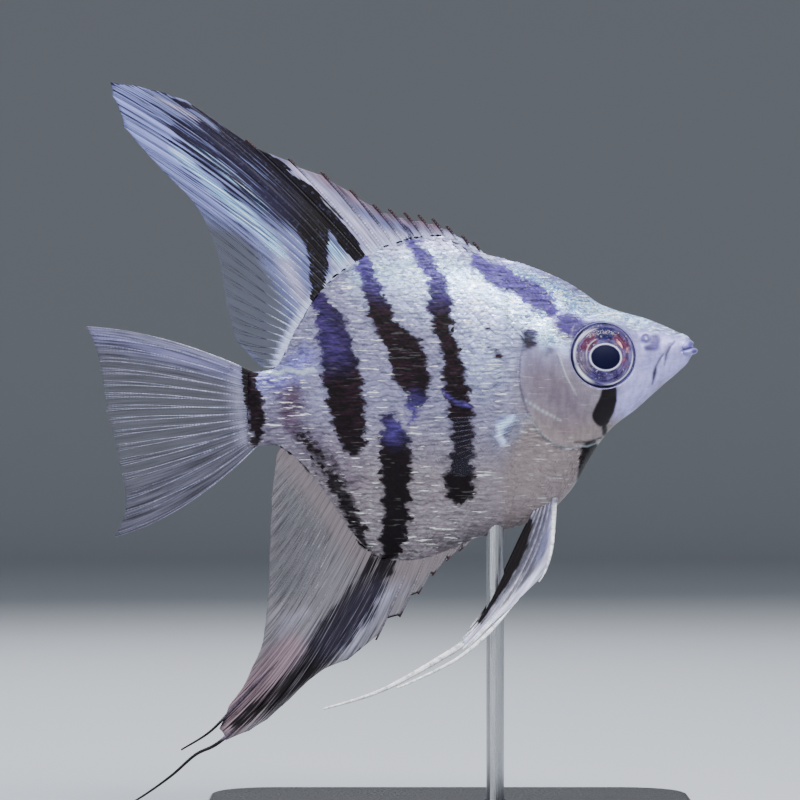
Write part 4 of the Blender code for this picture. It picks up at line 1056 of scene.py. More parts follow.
@dataclass(frozen=True)
class ScaleFinish(Finish):
    """Thin bright scales: each has its own tone, and some glint."""

    name: str = "bright_scales"
    metallic: float = 0.42
    roughness: float = 0.36
    glint_roughness: float = 0.25

    def paint(self, bench: Bench) -> None:
        """Fills the tree of the material."""
        grain = bench.group(grain_group(), coarse=3.0, fine=16.0)
        tone = bench.plus(bench.times(bench.shade("tone"), 0.8), bench.times(grain.outputs["Value"], 0.2))
        marks = bench.group(markings_group(), tone=tone,
            **{name: bench.shade(name) for name in BODY_SHADES})
        rim = bench.remap(bench.shade("edge"), 0.75, 1.0, 1.0, 0.93)
        grains = bench.spots((0.8, 0.8, 2.4), 4.0, 2.0, 0.36, 0.64, 0.9, 1.1)
        bench.wear("Base Color", bench.scaled(marks.outputs["Color"], bench.times(rim, grains)))
        bench.wear("Metallic", bench.between(marks.outputs["Dark"], self.metallic, 0.0))
        bench.wear("Specular IOR Level", 0.15)
        shine = bench.between(bench.shade("glint"), self.roughness, self.glint_roughness)
        bench.wear("Roughness", bench.plus(shine, bench.times(marks.outputs["Dark"], 0.25)))
        bench.wear("Normal", bench.bump(bench.noise(bench.place((0.7, 0.7, 3.0)), 1.0, 5.0), 0.03))


@dataclass(frozen=True)
class WebFinish(Finish):
    """Fin membrane, clear or inked, with dark and light streaks along its rays."""

    ground: Colour
    clear_alpha: float = 0.2
    plain_alpha: float = 0.8
    density: float = 4.0
    contrast: tuple[float, float] = (0.35, 1.5)
    pale: Colour = (0.62, 0.63, 0.74)
    lilac: Colour = (0.26, 0.27, 0.56)
    warm: Colour = (0.21, 0.145, 0.185)
    dusk: Colour = (0.022, 0.018, 0.055)
    flesh: Colour = (0.25, 0.22, 0.27)
    ink_edge: float = 0.12
    glitter: float = 0.0

    def paint(self, bench: Bench) -> None:
        """Fills the tree of the material."""
        across, along = bench.shade("across"), bench.shade("along")
        streaks = bench.group(streak_group(), across=across, along=along,
            density=self.density).outputs["Value"]
        lines = bench.group(streak_group(), across=bench.plus(across, 31.0), along=along,
            density=self.density * 0.9).outputs["Value"]
        ink = {name: bench.shade(name) for name in ("bar", "violet", "cyan", "lilac", "warm", "pale",
            "clear", "hem", "flesh")}
        colour = bench.mix(ink["warm"], bench.mix(ink["lilac"], self.ground, self.lilac), self.warm)
        colour = bench.scaled(colour, bench.between(streaks, *self.contrast))
        colour = bench.mix(ink["pale"], colour, bench.scaled(self.pale,
            bench.between(streaks, 0.45, 1.4)))
        # Cyan streaks, white where they are brightest: the fin's own cyan with painted highlights on it.
        gleam = bench.times(ink["cyan"], bench.remap(streaks, 0.36, 0.62))
        sparkling = bench.mix(bench.remap(streaks, 0.6, 0.85), INKS.cyan, INKS.spark)
        colour = bench.mix(gleam, colour, sparkling)
        fleshy = bench.less(bench.times(ink["flesh"], 1.5), bench.times(lines, 0.5))
        fleshy = bench.remap(fleshy, 0.0, 1.0)
        colour = bench.mix(fleshy, colour, bench.scaled(self.flesh, bench.between(streaks, 0.8, 1.2)))
        dark = bench.mix(ink["violet"], INKS.brown_black, self.dusk)
        # Lilac flecks on the dark web: painted glints.
        dust_and_glints = bench.spots(EVEN, 2.4, 2.0, 0.58, 0.66, 0.0, self.glitter)
        dark = bench.mix(bench.times(dust_and_glints, streaks), dark, self.lilac)
        thin_lines = bench.less(bench.times(ink["bar"], 1.25), bench.plus(lines, 0.12))
        inked = bench.most(bench.remap(thin_lines, 0.0, self.ink_edge), ink["hem"])
        bench.wear("Base Color", bench.mix(inked, colour, dark))
        solid = bench.most(inked, bench.most(bench.most(ink["pale"], fleshy),
            bench.most(gleam, bench.times(ink["warm"], 0.7))))
        thin = bench.times(bench.between(ink["clear"], self.plain_alpha, self.clear_alpha),
            bench.between(streaks, 1.3, 0.7))
        rest = bench.less(1.0, bench.least(thin, 1.0))
        alpha = bench.plus(thin, bench.times(bench.times(solid, 0.97), rest))
        bench.wear("Alpha", bench.least(alpha, 1.0))
        bench.wear("Normal", bench.bump(streaks, 0.03))
        bench.wear("Roughness", 0.42)
        bench.wear("Specular IOR Level", 0.2)


@dataclass(frozen=True)
class BoneFinish(Finish):
    """Fin rays and spines, jointed along their length, that may darken outwards."""

    pale: Colour = (0.52, 0.52, 0.68)
    outer: Colour = (0.52, 0.52, 0.68)
    turns_at: tuple[float, float] = (0.3, 0.7)
    bright: Colour = (0.66, 0.67, 0.80)
    spine_tip: Colour = (0.030, 0.009, 0.016)
    joint: float = 0.42
    joint_tone: float = 0.55
    solid: tuple[float, float] = (1.0, 1.0)
    knuckle_depth: float = 0.02
    flesh: Colour = (0.25, 0.22, 0.27)

    def paint(self, bench: Bench) -> None:
        """Fills the tree of the material."""
        run = bench.shade("run")
        wave = bench.maths("SINE", bench.times(run, 2 * math.pi / self.joint))
        knuckle = bench.remap(wave, 0.4, 1.0)
        colour = bench.mix(bench.remap(bench.shade("along"), *self.turns_at), self.pale, self.outer)
        colour = bench.mix(bench.shade("pale"), colour, self.bright)
        colour = bench.mix(bench.shade("cyan"), colour, INKS.cyan)
        colour = bench.mix(bench.times(bench.shade("warm"), 0.7), colour, INKS.warm)
        speckle = bench.spots(EVEN, 1.6, 3.0, 0.36, 0.64, 0.65, 1.3)
        colour = bench.scaled(colour, bench.times(speckle, bench.between(knuckle, 1.1, self.joint_tone)))
        colour = bench.mix(bench.shade("flesh"), colour, self.flesh)
        dark = bench.mix(bench.times(bench.shade("violet"), 0.25), INKS.brown_black, INKS.violet)
        colour = bench.mix(bench.remap(bench.shade("bar"), 0.1, 0.75), colour, dark)
        colour = bench.mix(bench.shade("tip"), colour, self.spine_tip)
        bench.wear("Base Color", colour)
        bench.wear("Normal", bench.bump(wave, self.knuckle_depth))
        if min(self.solid) < 1:
            bench.wear("Alpha", bench.remap(bench.shade("along"), 0.0, 0.8, *self.solid))
        bench.wear("Roughness", 0.38)
        bench.wear("Specular IOR Level", 0.3)


@dataclass(frozen=True)
class IrisFinish(Finish):
    """The inside of the eye: dark lens, pale ring, and an iris of mauve, blue and silver fibres."""

    name: str = "iris"
    lens: Colour = (0.001, 0.0015, 0.024)
    pale: Colour = (0.85, 0.87, 1.0)
    mauve: Colour = (0.11, 0.03, 0.07)
    blue: Colour = (0.010, 0.009, 0.075)
    beige: Colour = (0.13, 0.105, 0.17)
    rose: Colour = (0.95, 0.50, 0.48)
    silver: Colour = (0.10, 0.082, 0.21)
    navy: Colour = (0.005, 0.006, 0.03)

    def paint(self, bench: Bench) -> None:
        """Fills the tree of the material."""
        joined = bench.node("ShaderNodeCombineXYZ")
        bench.feed(joined.inputs["X"], bench.times(bench.shade("turn"), 2.2))
        bench.feed(joined.inputs["Y"], bench.times(bench.shade("far"), 3.4))
        fibres = bench.noise(joined.outputs[0], 1.0, 5.0)
        patches = bench.noise(bench.place(), 1.3, 4.0)
        colour = self.silver
        for name in ("beige", "mauve", "blue", "rose"):
            patchy = bench.plus(bench.times(bench.shade(name), 1.5), bench.spread(patches, -0.75, 0.1))
            colour = bench.mix(bench.remap(patchy, 0.0, 1.0), colour, getattr(self, name))
        colour = bench.scaled(colour, bench.remap(fibres, 0.34, 0.66, 0.35, 1.65))
        specks = bench.spots(EVEN, 3.0, 2.0, 0.66, 0.72, 0.0, 0.4)
        colour = bench.mix(specks, colour, self.pale)
        for name in ("navy", "pale", "lens"):
            colour = bench.mix(bench.shade(name), colour, getattr(self, name))
        bench.wear("Base Color", colour)
        bench.wear("Metallic", bench.between(bench.shade("lens"), 0.15, 0.0))
        bench.wear("Roughness", bench.between(bench.shade("lens"), 0.5, 0.6))
        bench.wear("Normal", bench.bump(fibres, 0.02))
        bench.wear("Specular IOR Level", 0.12)


@dataclass(frozen=True)
class CorneaFinish(Finish):
    """Clear wet dome over the iris: seen through, with a gloss at the surface."""

    name: str = "cornea"
    ior: float = 1.38

    def paint(self, bench: Bench) -> None:
        """Fills the tree of the material."""
        bench.tree.nodes.remove(bench.tree.nodes["Principled BSDF"])
        clear = bench.node("ShaderNodeBsdfTransparent")
        gloss = bench.node("ShaderNodeBsdfAnisotropic")
        bench.feed(gloss.inputs["Roughness"], bench.spots(EVEN, 0.8, 2.0, 0.3, 0.7, 0.1, 0.16))
        share = bench.node("ShaderNodeFresnel")
        share.inputs["IOR"].default_value = self.ior
        shown = bench.node("ShaderNodeMixShader")
        bench.feed(shown.inputs[0], bench.times(share.outputs[0], 0.28))
        bench.feed(shown.inputs[1], clear.outputs[0])
        bench.feed(shown.inputs[2], gloss.outputs[0])
        bench.feed(bench.tree.nodes["Material Output"].inputs["Surface"], shown.outputs[0])


@dataclass(frozen=True)
class LacquerFinish(Finish):
    """Black satin lacquer over wood, with a faint grain under the gloss."""

    name: str = "black_lacquer"

    def paint(self, bench: Bench) -> None:
        """Fills the tree of the material."""
        rings = bench.noise(bench.place((0.05, 1.1, 1.1)), 1.0, 5.0)
        dust_and_glints = bench.noise(bench.place(), 2.2, 3.0)
        colour = bench.mix(bench.remap(rings, 0.42, 0.62), (0.006, 0.006, 0.007), (0.022, 0.018, 0.016))
        bench.wear("Base Color", colour)
        bench.wear("Roughness", bench.remap(dust_and_glints, 0.3, 0.7, 0.2, 0.34))
        bench.wear("Normal", bench.bump(rings, 0.03))
        bench.wear("Coat Weight", 0.6)
        bench.wear("Coat Roughness", 0.08)


@dataclass(frozen=True)
class SteelFinish(Finish):
    """Brushed steel, drawn along the rod."""

    name: str = "brushed_steel"

    def paint(self, bench: Bench) -> None:
        """Fills the tree of the material."""
        brush = bench.noise(bench.place((9.0, 9.0, 0.25)), 1.0, 4.0)
        bench.wear("Base Color", bench.mix(brush, (0.44, 0.45, 0.47), (0.70, 0.71, 0.73)))
        bench.wear("Roughness", bench.remap(brush, 0.3, 0.7, 0.22, 0.36))
        bench.wear("Normal", bench.bump(brush, 0.01))
        bench.wear("Metallic", 1.0)


@dataclass(frozen=True)
class FloorFinish(Finish):
    """Pale matt paper of the studio's floor and wall."""

    name: str = "pale_paper"
    colour: Colour = (0.42, 0.44, 0.47)

    def paint(self, bench: Bench) -> None:
        """Fills the tree of the material."""
        fibre = bench.noise(bench.place(), 1.5, 3.0)
        light = tuple(min(c * 1.05, 1.0) for c in self.colour)
        bench.wear("Base Color", bench.mix(fibre, self.colour, light))
        bench.wear("Roughness", 0.85)
        bench.wear("Specular IOR Level", 0.2)


def low_ground(x: Array, z: Array) -> Array:
    """How far the ground colour has turned from silver to the duller beige of belly and cheek."""
    return np.clip(0.85 * smooth_rise(1.0, -11.0, z) + 0.7 * smooth_rise(6.0, 12.0, x)
        * smooth_rise(7.0, 2.0, z), 0.0, 1.0)


def calm_ground(x: Array, z: Array) -> Array:
    """How smooth and free of glitter skin is: cheek, gill cover, snout, chin, and less so the chest."""
    gill, _ = nearest_on_path(x, z, path_through(GILL_EDGE, 4))
    line = np.interp(x, (9.0, 12.0, 16.5, 22.0, 26.0, 29.0, 33.0), (8.2, 7.2, 7.8, 9.6, 9.4, 8.9, 8.4))
    head = smooth_rise(-0.3, 0.5, gill) * smooth_rise(line + 0.5, line - 0.7, z) * smooth_rise(8.6, 9.6,
        x)
    return np.maximum(head, 0.8 * smooth_rise(-3.0, -8.0, z) * smooth_rise(3.0, 8.0, x))


@dataclass
class Skin:
    """One closed skin over head, trunk and tail stalk, with sheaths at the fins and eye sockets."""

    form: BodyForm
    head_step: float = 0.14
    body_step: float = 0.6
    head_end: float = 8.6
    tail_end: float = -27.3
    half_ring: int = 170

    def turns(self) -> Array:
        """Turns round one flank, from belly edge to back edge and closest at both."""
        u = np.linspace(-1.0, 1.0, self.half_ring + 1)
        return math.pi / 2 * (0.45 * u + 0.55 * np.sin(math.pi / 2 * u))

    def build(self) -> bpy.types.Object:
        """Makes the skin."""
        near_snout = np.array((32.6, 32.55, 32.45, 32.3, 32.1))
        head = np.arange(31.9, self.head_end, -self.head_step)
        body = np.arange(self.head_end, self.tail_end, -self.body_step)
        stations = np.concatenate([near_snout, head, body, [self.tail_end]])
        turns = self.turns()
        x, turn = np.meshgrid(stations, turns, indexing="ij")
        flanks = []
        for side in Side:
            flat = self.form.skin(x.ravel(), turn.ravel(), side)
            flat = Socket().shape(flat, EyeSeat(side))
            flanks.append(flat.reshape(*x.shape, 3))
        rings = np.concatenate([flanks[0], flanks[1][:, -2:0:-1]], axis=1)
        rows, columns = rings.shape[:2]
        nose = rings[0]
        middle = nose.mean(axis=0)
        dome = []
        for lean in np.radians((75, 60, 45, 30, 15)):
            ring = middle + (nose - middle) * math.sin(lean)
            ring[:, 0] += 0.25 * math.cos(lean)
            dome.append(ring)
        points = np.concatenate([middle[None] + (0.25, 0.0, 0.0), *dome[::-1], rings.reshape(-1, 3),
            rings[-1].mean(axis=0)[None]])
        total_rows = rows + len(dome)
        on_left = np.arange(columns) >= len(turns)
        is_left = np.concatenate([[False], np.tile(on_left, total_rows), [False]])
        right = BODY_PATTERN.masks(points[:, 0], points[:, 2], Side.RIGHT)
        left = BODY_PATTERN.masks(points[:, 0], points[:, 2], Side.LEFT)
        masks = {name: np.where(is_left, left[name], right[name]) for name in right}
        draft = Draft()
        draft.add(points, capped_faces(total_rows, columns), low=low_ground(points[:, 0], points[:, 2]),
            calm=calm_ground(points[:, 0], points[:, 2]), **masks)
        return draft.build("body_skin", SkinFinish().material(), "skin", ("head", "trunk", "tail_stalk"))


@dataclass(frozen=True)
class ScalePlate:
    """Shape of one scale, in shares of its row's spacing: a thin domed shield with a round free edge."""

    length: float = 1.2
    half_width: float = 0.56
    root: float = -0.015
    lift: float = 0.045
    bulge: float = 0.012
    thick: float = 0.02
    rows: int = 4
    columns: int = 7

    def template(self) -> tuple[Array, list[Array], Array, Array]:
        """Lays out the plate with its root at zero.

        Returns:
            Points as (back, up, out), face blocks, share from root to free edge, and share across.
        """
        u, v = np.meshgrid(np.linspace(0, 1, self.rows), np.linspace(-1, 1, self.columns), indexing="ij")
        back = u * self.length * (1 - 0.26 * u * v**2)
        up = v * self.half_width * (0.7 + 0.3 * np.sin(math.pi * u**0.8))
        out = self.root + (self.lift - self.root) * u + self.bulge * (1 - v**2) * (0.4 + 0.6 * u)
        top = np.stack([back, up, out], axis=-1).reshape(-1, 3)
        low = top - (0.0, 0.0, self.thick)
        return (np.vstack([top, low]), sheet_faces(self.rows, self.columns), np.tile(u.ravel(), 2),
            np.tile(v.ravel(), 2))


@dataclass
class Coat:
    """Rows of scales over one flank, which fan from the tail stalk towards the head."""

    form: BodyForm
    side: Side
    plate: ScalePlate = field(default_factory=ScalePlate)
    column_share: float = 0.42
    start_x: float = 25.0
    end_x: float = -25.6
    most: int = 1700
    seed: int = 41
    map_patch: float = 0.003
    least_aside: float = 0.5
    least_facing: float = 0.7
    raggedness: float = 0.2

    def spacing(self, x: float) -> float:
        """Distance between rows at a station."""
        return float(np.interp(x, (-27.0, -20.0, -12.0, 2.0, 9.0, 14.0, 19.0, 25.0),
            (0.60, 0.70, 0.85, 0.92, 0.89, 0.76, 0.6, 0.5)))

    def arc(self, x: float) -> tuple[Array, Array]:
        """Turns round the flank at a station, and the way along the skin to each from the mid line."""
        turns = np.linspace(-math.pi / 2, math.pi / 2, 321)
        ring = self.form.shell(np.full(len(turns), x), turns, self.side)
        run = run_along(ring)
        axis_z = np.interp(x, (-27.0, -10.0, 8.0, 26.0), (-1.1, -0.6, 0.2, 4.5))
        upward = ring[:, 2]
        return turns, run - np.interp(axis_z, upward, run)

    def lattice(self) -> dict[str, Array]:
        """Roots of all the scales of the flank, column by column."""
        columns: list[Array] = []
        x = self.start_x
        while x > self.end_x:
            step = self.spacing(x)
            turns, run = self.arc(x)
            rear_x = x - 0.3
            rear_turns, rear_run = self.arc(rear_x)
            offset = 0.5 * (len(columns) % 2)
            first, last = math.ceil(run[0] / step - offset), math.floor(run[-1] / step - offset)
            index = np.arange(first, last + 1) + offset
            rear_turn = np.interp(index * self.spacing(rear_x), rear_run, rear_turns)
            columns.append(np.stack(np.broadcast_arrays(x, np.interp(index * step, run, turns), rear_x,
                rear_turn, step, index * step)))
            x -= self.column_share * step
        return dict(zip(("x", "turn", "rear_x", "rear_turn", "size", "run"),
            np.concatenate(columns, axis=1)))

    def kept(self, x: Array, z: Array) -> Array:
        """Which roots carry a scale: none on snout, jaws, gill cover, cheek or round the eye."""
        gill, _ = nearest_on_path(x, z, path_through(GILL_EDGE, 4))
        from_eye = np.hypot(x - EYE[0], z - EYE[1])
        snout = x > np.interp(z, (7.0, 9.5, 11.0, 13.0, 20.0), (20.0, 21.5, 24.5, 24.0, 20.0))
        cheek = (gill > -0.3) & (z < np.interp(x, (9.0, 12.0, 16.5), (8.6, 7.6, 8.2)))
        return ~snout & (from_eye > EYE_CLEARANCE) & ~cheek

    def build(self) -> None:
        """Makes the coat in pieces of a size that suits the export."""
        draw = np.random.default_rng(self.seed + self.side.value)
        roots = self.lattice()
        place = self.form.skin(roots["x"], roots["turn"], self.side)
        aside = np.abs(self.form.outward(roots["x"], roots["turn"], self.side)[:, 1])
        keep = self.kept(place[:, 0], place[:, 2]) & (aside > self.least_aside)
        roots = {name: values[keep] for name, values in roots.items()}
        place = place[keep]
        count = len(place)
        rear = self.form.shell(roots["rear_x"], roots["rear_turn"], self.side)
        front = self.form.shell(roots["x"], roots["turn"], self.side)
        out = self.form.outward(roots["x"], roots["turn"], self.side)
        tilt_up, tilt_back, spin = draw.normal(0.0, 1.0, (3, count))
        back = unit(rear - front)
        up = unit(np.cross(out, back))
        up *= np.sign(up[:, 2:3] + 1e-9)
        back = unit(back + 0.04 * spin[:, None] * up)
        up = unit(up - 0.04 * spin[:, None] * back)
        out = unit(out + 0.03 * tilt_up[:, None] * up + 0.02 * tilt_back[:, None] * back)
        back = unit(back - np.einsum("ij,ij->i", back, out)[:, None] * out)
        up = unit(up - np.einsum("ij,ij->i", up, out)[:, None] * out)
        size = roots["size"] * (1 + 0.05 * draw.normal(0.0, 1.0, count))
        chest = smooth_rise(-3.0, -9.0, place[:, 2]) * smooth_rise(3.0, 9.0, place[:, 0])
        low_form = 1 - 0.6 * np.maximum(chest, smooth_rise(9.0, 14.0, place[:, 0]))
        points, faces, edge, across = self.plate.template()
        half = len(points) // 2
        spots = place[:, None] + 0.8 * size[:, None,
            None] * (points[None, :half, 0:1] * back[:, None] + points[None, :half, 1:2] * up[:, None])
        spots = np.tile(spots, (1, 2, 1))
        found = BODY_PATTERN.masks(spots[:, :half, 0].ravel(), spots[:, :half, 2].ravel(), self.side)
        masks = {name: np.tile(values.reshape(count, half), (1, 2)) for name, values in found.items()}
        ragged = self.raggedness * draw.normal(0.0, 1.0, count)[:, None]
        at_edge = (masks["bar"] > 0.08) & (masks["bar"] < 0.92)
        masks["bar"] = np.clip(masks["bar"] + ragged * at_edge, 0.0, 1.0)
        tone = np.clip(0.5 + 0.14 * draw.normal(0.0, 1.0, count), 0.0, 1.0)
        glint = (draw.random(count) < 0.22 + 0.2 * smooth_rise(2.0, 14.0, place[:, 2])).astype(float)
        masks["low"] = low_ground(spots[..., 0], spots[..., 2])
        masks["calm"] = np.broadcast_to(calm_ground(place[:, 0], place[:, 2])[:, None], spots.shape[:2])
        raised = points[None, :, 2:3] * low_form[:, None, None]
        lumps = place[:, None] + size[:, None, None] * (points[None, :, 0:1] * back[:, None]
            + points[None, :, 1:2] * up[:, None] + raised * out[:, None])
        facing = out.copy()
        facing[:, 1] = self.side.value * np.maximum(np.abs(out[:, 1]), self.least_facing)
        spread = 0.09 * across[None, :, None]
        normals = unit(facing[:, None] - 0.05 * back[:, None] + spread * up[:, None])
        whole = self.start_x - self.end_x
        half_map = 0.5 if self.side is Side.LEFT else 0.0
        map_u = half_map + 0.02 + 0.46 * (self.start_x - roots["x"]) / whole
        map_v = 0.5 + roots["run"] / 60.0
        patch = np.stack([map_u[:, None] + (edge - 0.5) * self.map_patch,
            map_v[:, None] + across / 2 * self.map_patch], axis=-1)
        finish = scale_material()
        chunks = math.ceil(count / self.most)
        for number, chosen in enumerate(np.array_split(np.arange(count), chunks), 1):
            draft = Draft()
            each = len(points)
            shift = (np.arange(len(chosen)) * each)[:, None, None]
            blocks = [(block[None] + shift).reshape(-1, block.shape[1]) for block in faces]
            shades = {name: values[chosen].ravel() for name, values in masks.items()}
            draft.add(lumps[chosen].reshape(-1, 3), blocks, patch=patch[chosen].reshape(-1, 2),
                normals=normals[chosen].reshape(-1, 3), edge=np.tile(edge, len(chosen)),
                tone=np.repeat(tone[chosen], each), glint=np.repeat(glint[chosen], each), **shades)
            draft.build(f"scales_{self.side.word}_{number}", finish, "skin")


@cache
def scale_material() -> Material:
    """The finish that all the scales share."""
    return ScaleFinish().material()


@dataclass(frozen=True)
class RayLine:
    """The middle line of a fin ray, from sunken root to tip, with leans in degrees from straight back."""

    root: tuple[float, float]
    tip: tuple[float, float]
    root_lean: float
    tip_lean: float
    sink: float = 1.5

    @property
    def length(self) -> float:
        """Straight length from the sunken root to the tip."""
        return math.dist(self.root, self.tip) + self.sink

    def at(self, t: Array) -> Array:
        """Places (x, z) at shares t of the way."""
        def heading(degrees: float) -> Array:
            """The direction of a lean."""
            return np.array((-math.cos(math.radians(degrees)), math.sin(math.radians(degrees))))

        start = np.array(self.root) - heading(self.root_lean) * self.sink
        end = np.array(self.tip)
        reach = np.linalg.norm(end - start) / 3
        first = start + heading(self.root_lean) * reach
        second = end - heading(self.tip_lean) * reach
        t = np.asarray(t, float)[..., None]
        s = 1 - t
        return s**3 * start + 3 * s * s * t * first + 3 * s * t * t * second + t**3 * end


def guided_rays(roots: Sequence[tuple[float, float]], guide: Sequence[Sequence[float]],
        lean_sign: int = 1, ragged: float = 0.0, seed: int = 7) -> list[RayLine]:
    """Soft rays from their roots, led by guide rows.

    Args:
        roots: Where the rays leave the body.
        guide: Rows of share across the fin, tip x, tip z, lean at the root, lean at the tip.
        lean_sign: 1 for a fin that rises, -1 for one that hangs.
        ragged: How unevenly the tips end, as a share of each ray.
        seed: For the unevenness.

    Returns:
        The ray lines in order.
    """
    draw = np.random.default_rng(seed)
    columns = np.array(guide, float).T
    rays = []
    for i, root in enumerate(roots):
        share = i / (len(roots) - 1)
        tip_x, tip_z, root_lean, tip_lean = (float(np.interp(share, columns[0], c)) for c in columns[1:])
        cut = 1 - ragged * float(draw.random())
        tip = (root[0] + (tip_x - root[0]) * cut, root[1] + (tip_z - root[1]) * cut)
        rays.append(RayLine(root, tip, lean_sign * root_lean, lean_sign * tip_lean))
    return rays


def spread_roots(line: SmoothLine, first_x: float, last_x: float,
        count: int) -> list[tuple[float, float]]:
    """Evenly spaced places along the back or the belly."""
    xs = np.linspace(first_x, last_x, 160)
    points = np.stack([xs, line(xs)], axis=1)
    run = run_along(points)
    at = np.linspace(0.0, run[-1], count)
    return [(float(np.interp(a, run, points[:, 0])), float(np.interp(a, run, points[:, 1]))) for a in at]


def spine_rays(line: SmoothLine, spines: Sequence[Station], side: int,
        bend: float = 4.0) -> list[RayLine]:
    """Spines out of (root x, tip x, tip z) rows, bent a little backwards."""
    rays = []
    for root_x, tip_x, tip_z in spines:
        root = (root_x, float(line(root_x)))
        lean = side * math.degrees(math.atan2(abs(tip_z - root[1]), root_x - tip_x))
        rays.append(RayLine(root, (tip_x, tip_z), lean + side * bend, lean - side * bend))
    return rays


@dataclass
class Fin:
    """A fin: spines and branching soft rays, with a thin web between each two."""

    name: str
    nodes: tuple[str, ...]
    slot: str
    rays: list[RayLine]
    spines: int
    pattern: Pattern
    web_finish: Material
    bone_finish: Material
    side: Side = Side.RIGHT
    depth: Callable[[Array, Array, Array], Array] | None = None
    spine_radius: tuple[float, float] = (0.32, 0.05)
    ray_radius: tuple[float, float] = (0.21, 0.05)
    web_half: tuple[float, float] = (0.11, 0.03)
    spine_notch: float = 1.0
    stands_out: float = 0.3
    soft_notch: float = 0.02
    hem_dark: float = 0.0
    hem_width: float = 0.4
    tip_dark: float = 1.4
    flesh_reach: tuple[float, float] = (0.0, 0.0)
    first_fork: float = 0.42
    second_fork: float = 0.7
    web_rows: int = 56
    web_columns: int = 5
    pleat: float = 0.06
    bar_tips: bool = True
    forks: bool = True
    extra: list[tuple[Array, Array, Array]] = field(default_factory=list)

    def lay(self, flat: Array, t: Array) -> Array:
        """Places in the side view laid at the fin's own depth."""
        y = self.depth(flat[..., 0], flat[..., 1], t) if self.depth else np.zeros(np.shape(t))
        return np.stack([flat[..., 0], np.broadcast_to(y, flat.shape[:-1]), flat[..., 1]], axis=-1)

    def shades(self, points: Array) -> dict[str, Array]:
        """The fin's ink masks at some places."""
        return self.pattern.masks(points[:, 0], points[:, 2], self.side)

    def fleshy(self, ray: RayLine, t: Array) -> Array:
        """How much of the body's flesh runs out onto the fin at shares t of a ray."""
        if self.flesh_reach[1] <= 0:
            return np.zeros(np.shape(t))
        run = t * ray.length - ray.sink
        return smooth_rise(self.flesh_reach[1], self.flesh_reach[0], run)

    def web(self) -> None:
        """The membrane, one thin closed strip between each two rays."""
        draft = Draft()
        across = np.linspace(0.0, 1.0, self.web_columns)
        for i, (a, b) in enumerate(zip(self.rays, self.rays[1:])):
            spiny = i + 1 < self.spines
            if spiny:
                short = (self.stands_out + (self.spine_notch - self.stands_out) * across**0.7) / b.length
            else:
                short = self.soft_notch * (1 + 4 * across * (1 - across)) / 2
                if i + 1 == self.spines:
                    short = short + 0.06 * (1 - across)
            t = np.linspace(0.02, 1.0, self.web_rows)[:, None] * (1 - short)[None]
            flat = a.at(t) * (1 - across)[None, :, None] + b.at(t) * across[None, :, None]
            middle = self.lay(flat, t)
            sign = 1.0 if i % 2 else -1.0
            middle[..., 1] += sign * self.pleat * np.sin(math.pi * across)[None] * smooth_rise(0.1, 0.5,
                t)
            half = self.web_half[0] + (self.web_half[1] - self.web_half[0]) * smooth_rise(0.0, 0.6, t)
            faces, points = closed_sheet(middle, half)
            along = np.tile(t.ravel(), 2)
            place = np.tile(np.broadcast_to(i + across, t.shape).ravel(), 2)
            from_edge = (1 - np.linspace(0.02, 1.0, self.web_rows)) * b.length
            reach = np.repeat(smooth_rise(self.hem_width + 0.2, self.hem_width - 0.2, from_edge),
                self.web_columns)
            hem = self.hem_dark * np.tile(reach, 2) * (1.0 if spiny else 0.0)
            draft.add(points, faces, across=place, along=along, hem=hem, flesh=self.fleshy(a, along),
                **self.shades(points))
        draft.build(f"{self.name}_web", self.web_finish, self.slot)

    def twig(self, draft: Draft, i: int, start: float, end: float, sway: Callable[[Array], Array],
            radii: tuple[float, float], steps: int, sides: int = 4) -> None:
        """Adds one length of a ray.

        Args:
            draft: The mesh that takes it.
            i: The ray's number.
            start: Share of the ray where the length begins.
            end: Share where it ends.
            sway: Share of the way to the neighbour rays at each t, positive towards the next one.
            radii: Radius at its start and end.
            steps: How many spans it has.
            sides: Corners of its cross section.
        """
        t = np.linspace(start, end, steps + 1)
        line = self.rays[i].at(t)
        lean = sway(t)
        after = self.rays[min(i + 1, len(self.rays) - 1)].at(t)
        before = self.rays[max(i - 1, 0)].at(t)
        flat = line + np.where(lean > 0, lean, 0.0)[:, None] * (after - line)
        flat = flat + np.where(lean < 0, -lean, 0.0)[:, None] * (before - line)
        share = (t - start) / (end - start)
        radius = radii[0] + (radii[1] - radii[0]) * share
        path = self.lay(flat, t)
        points, faces = sweep(path, radius, radius * 0.9, sides)
        run = run_along(path)
        run = np.append(np.repeat(run, sides), (run[0], run[-1])) + start * 20
        spiny = i < self.spines and self.bar_tips
        ends = np.append(np.repeat(t, sides), (t[0], t[-1]))
        from_tip = (1 - ends) * self.rays[i].length
        tip = smooth_rise(self.tip_dark + 0.5, self.tip_dark - 0.3, from_tip) * spiny
        draft.add(points, faces, run=run, tip=tip, along=ends, flesh=self.fleshy(self.rays[i], ends),
            **self.shades(points))

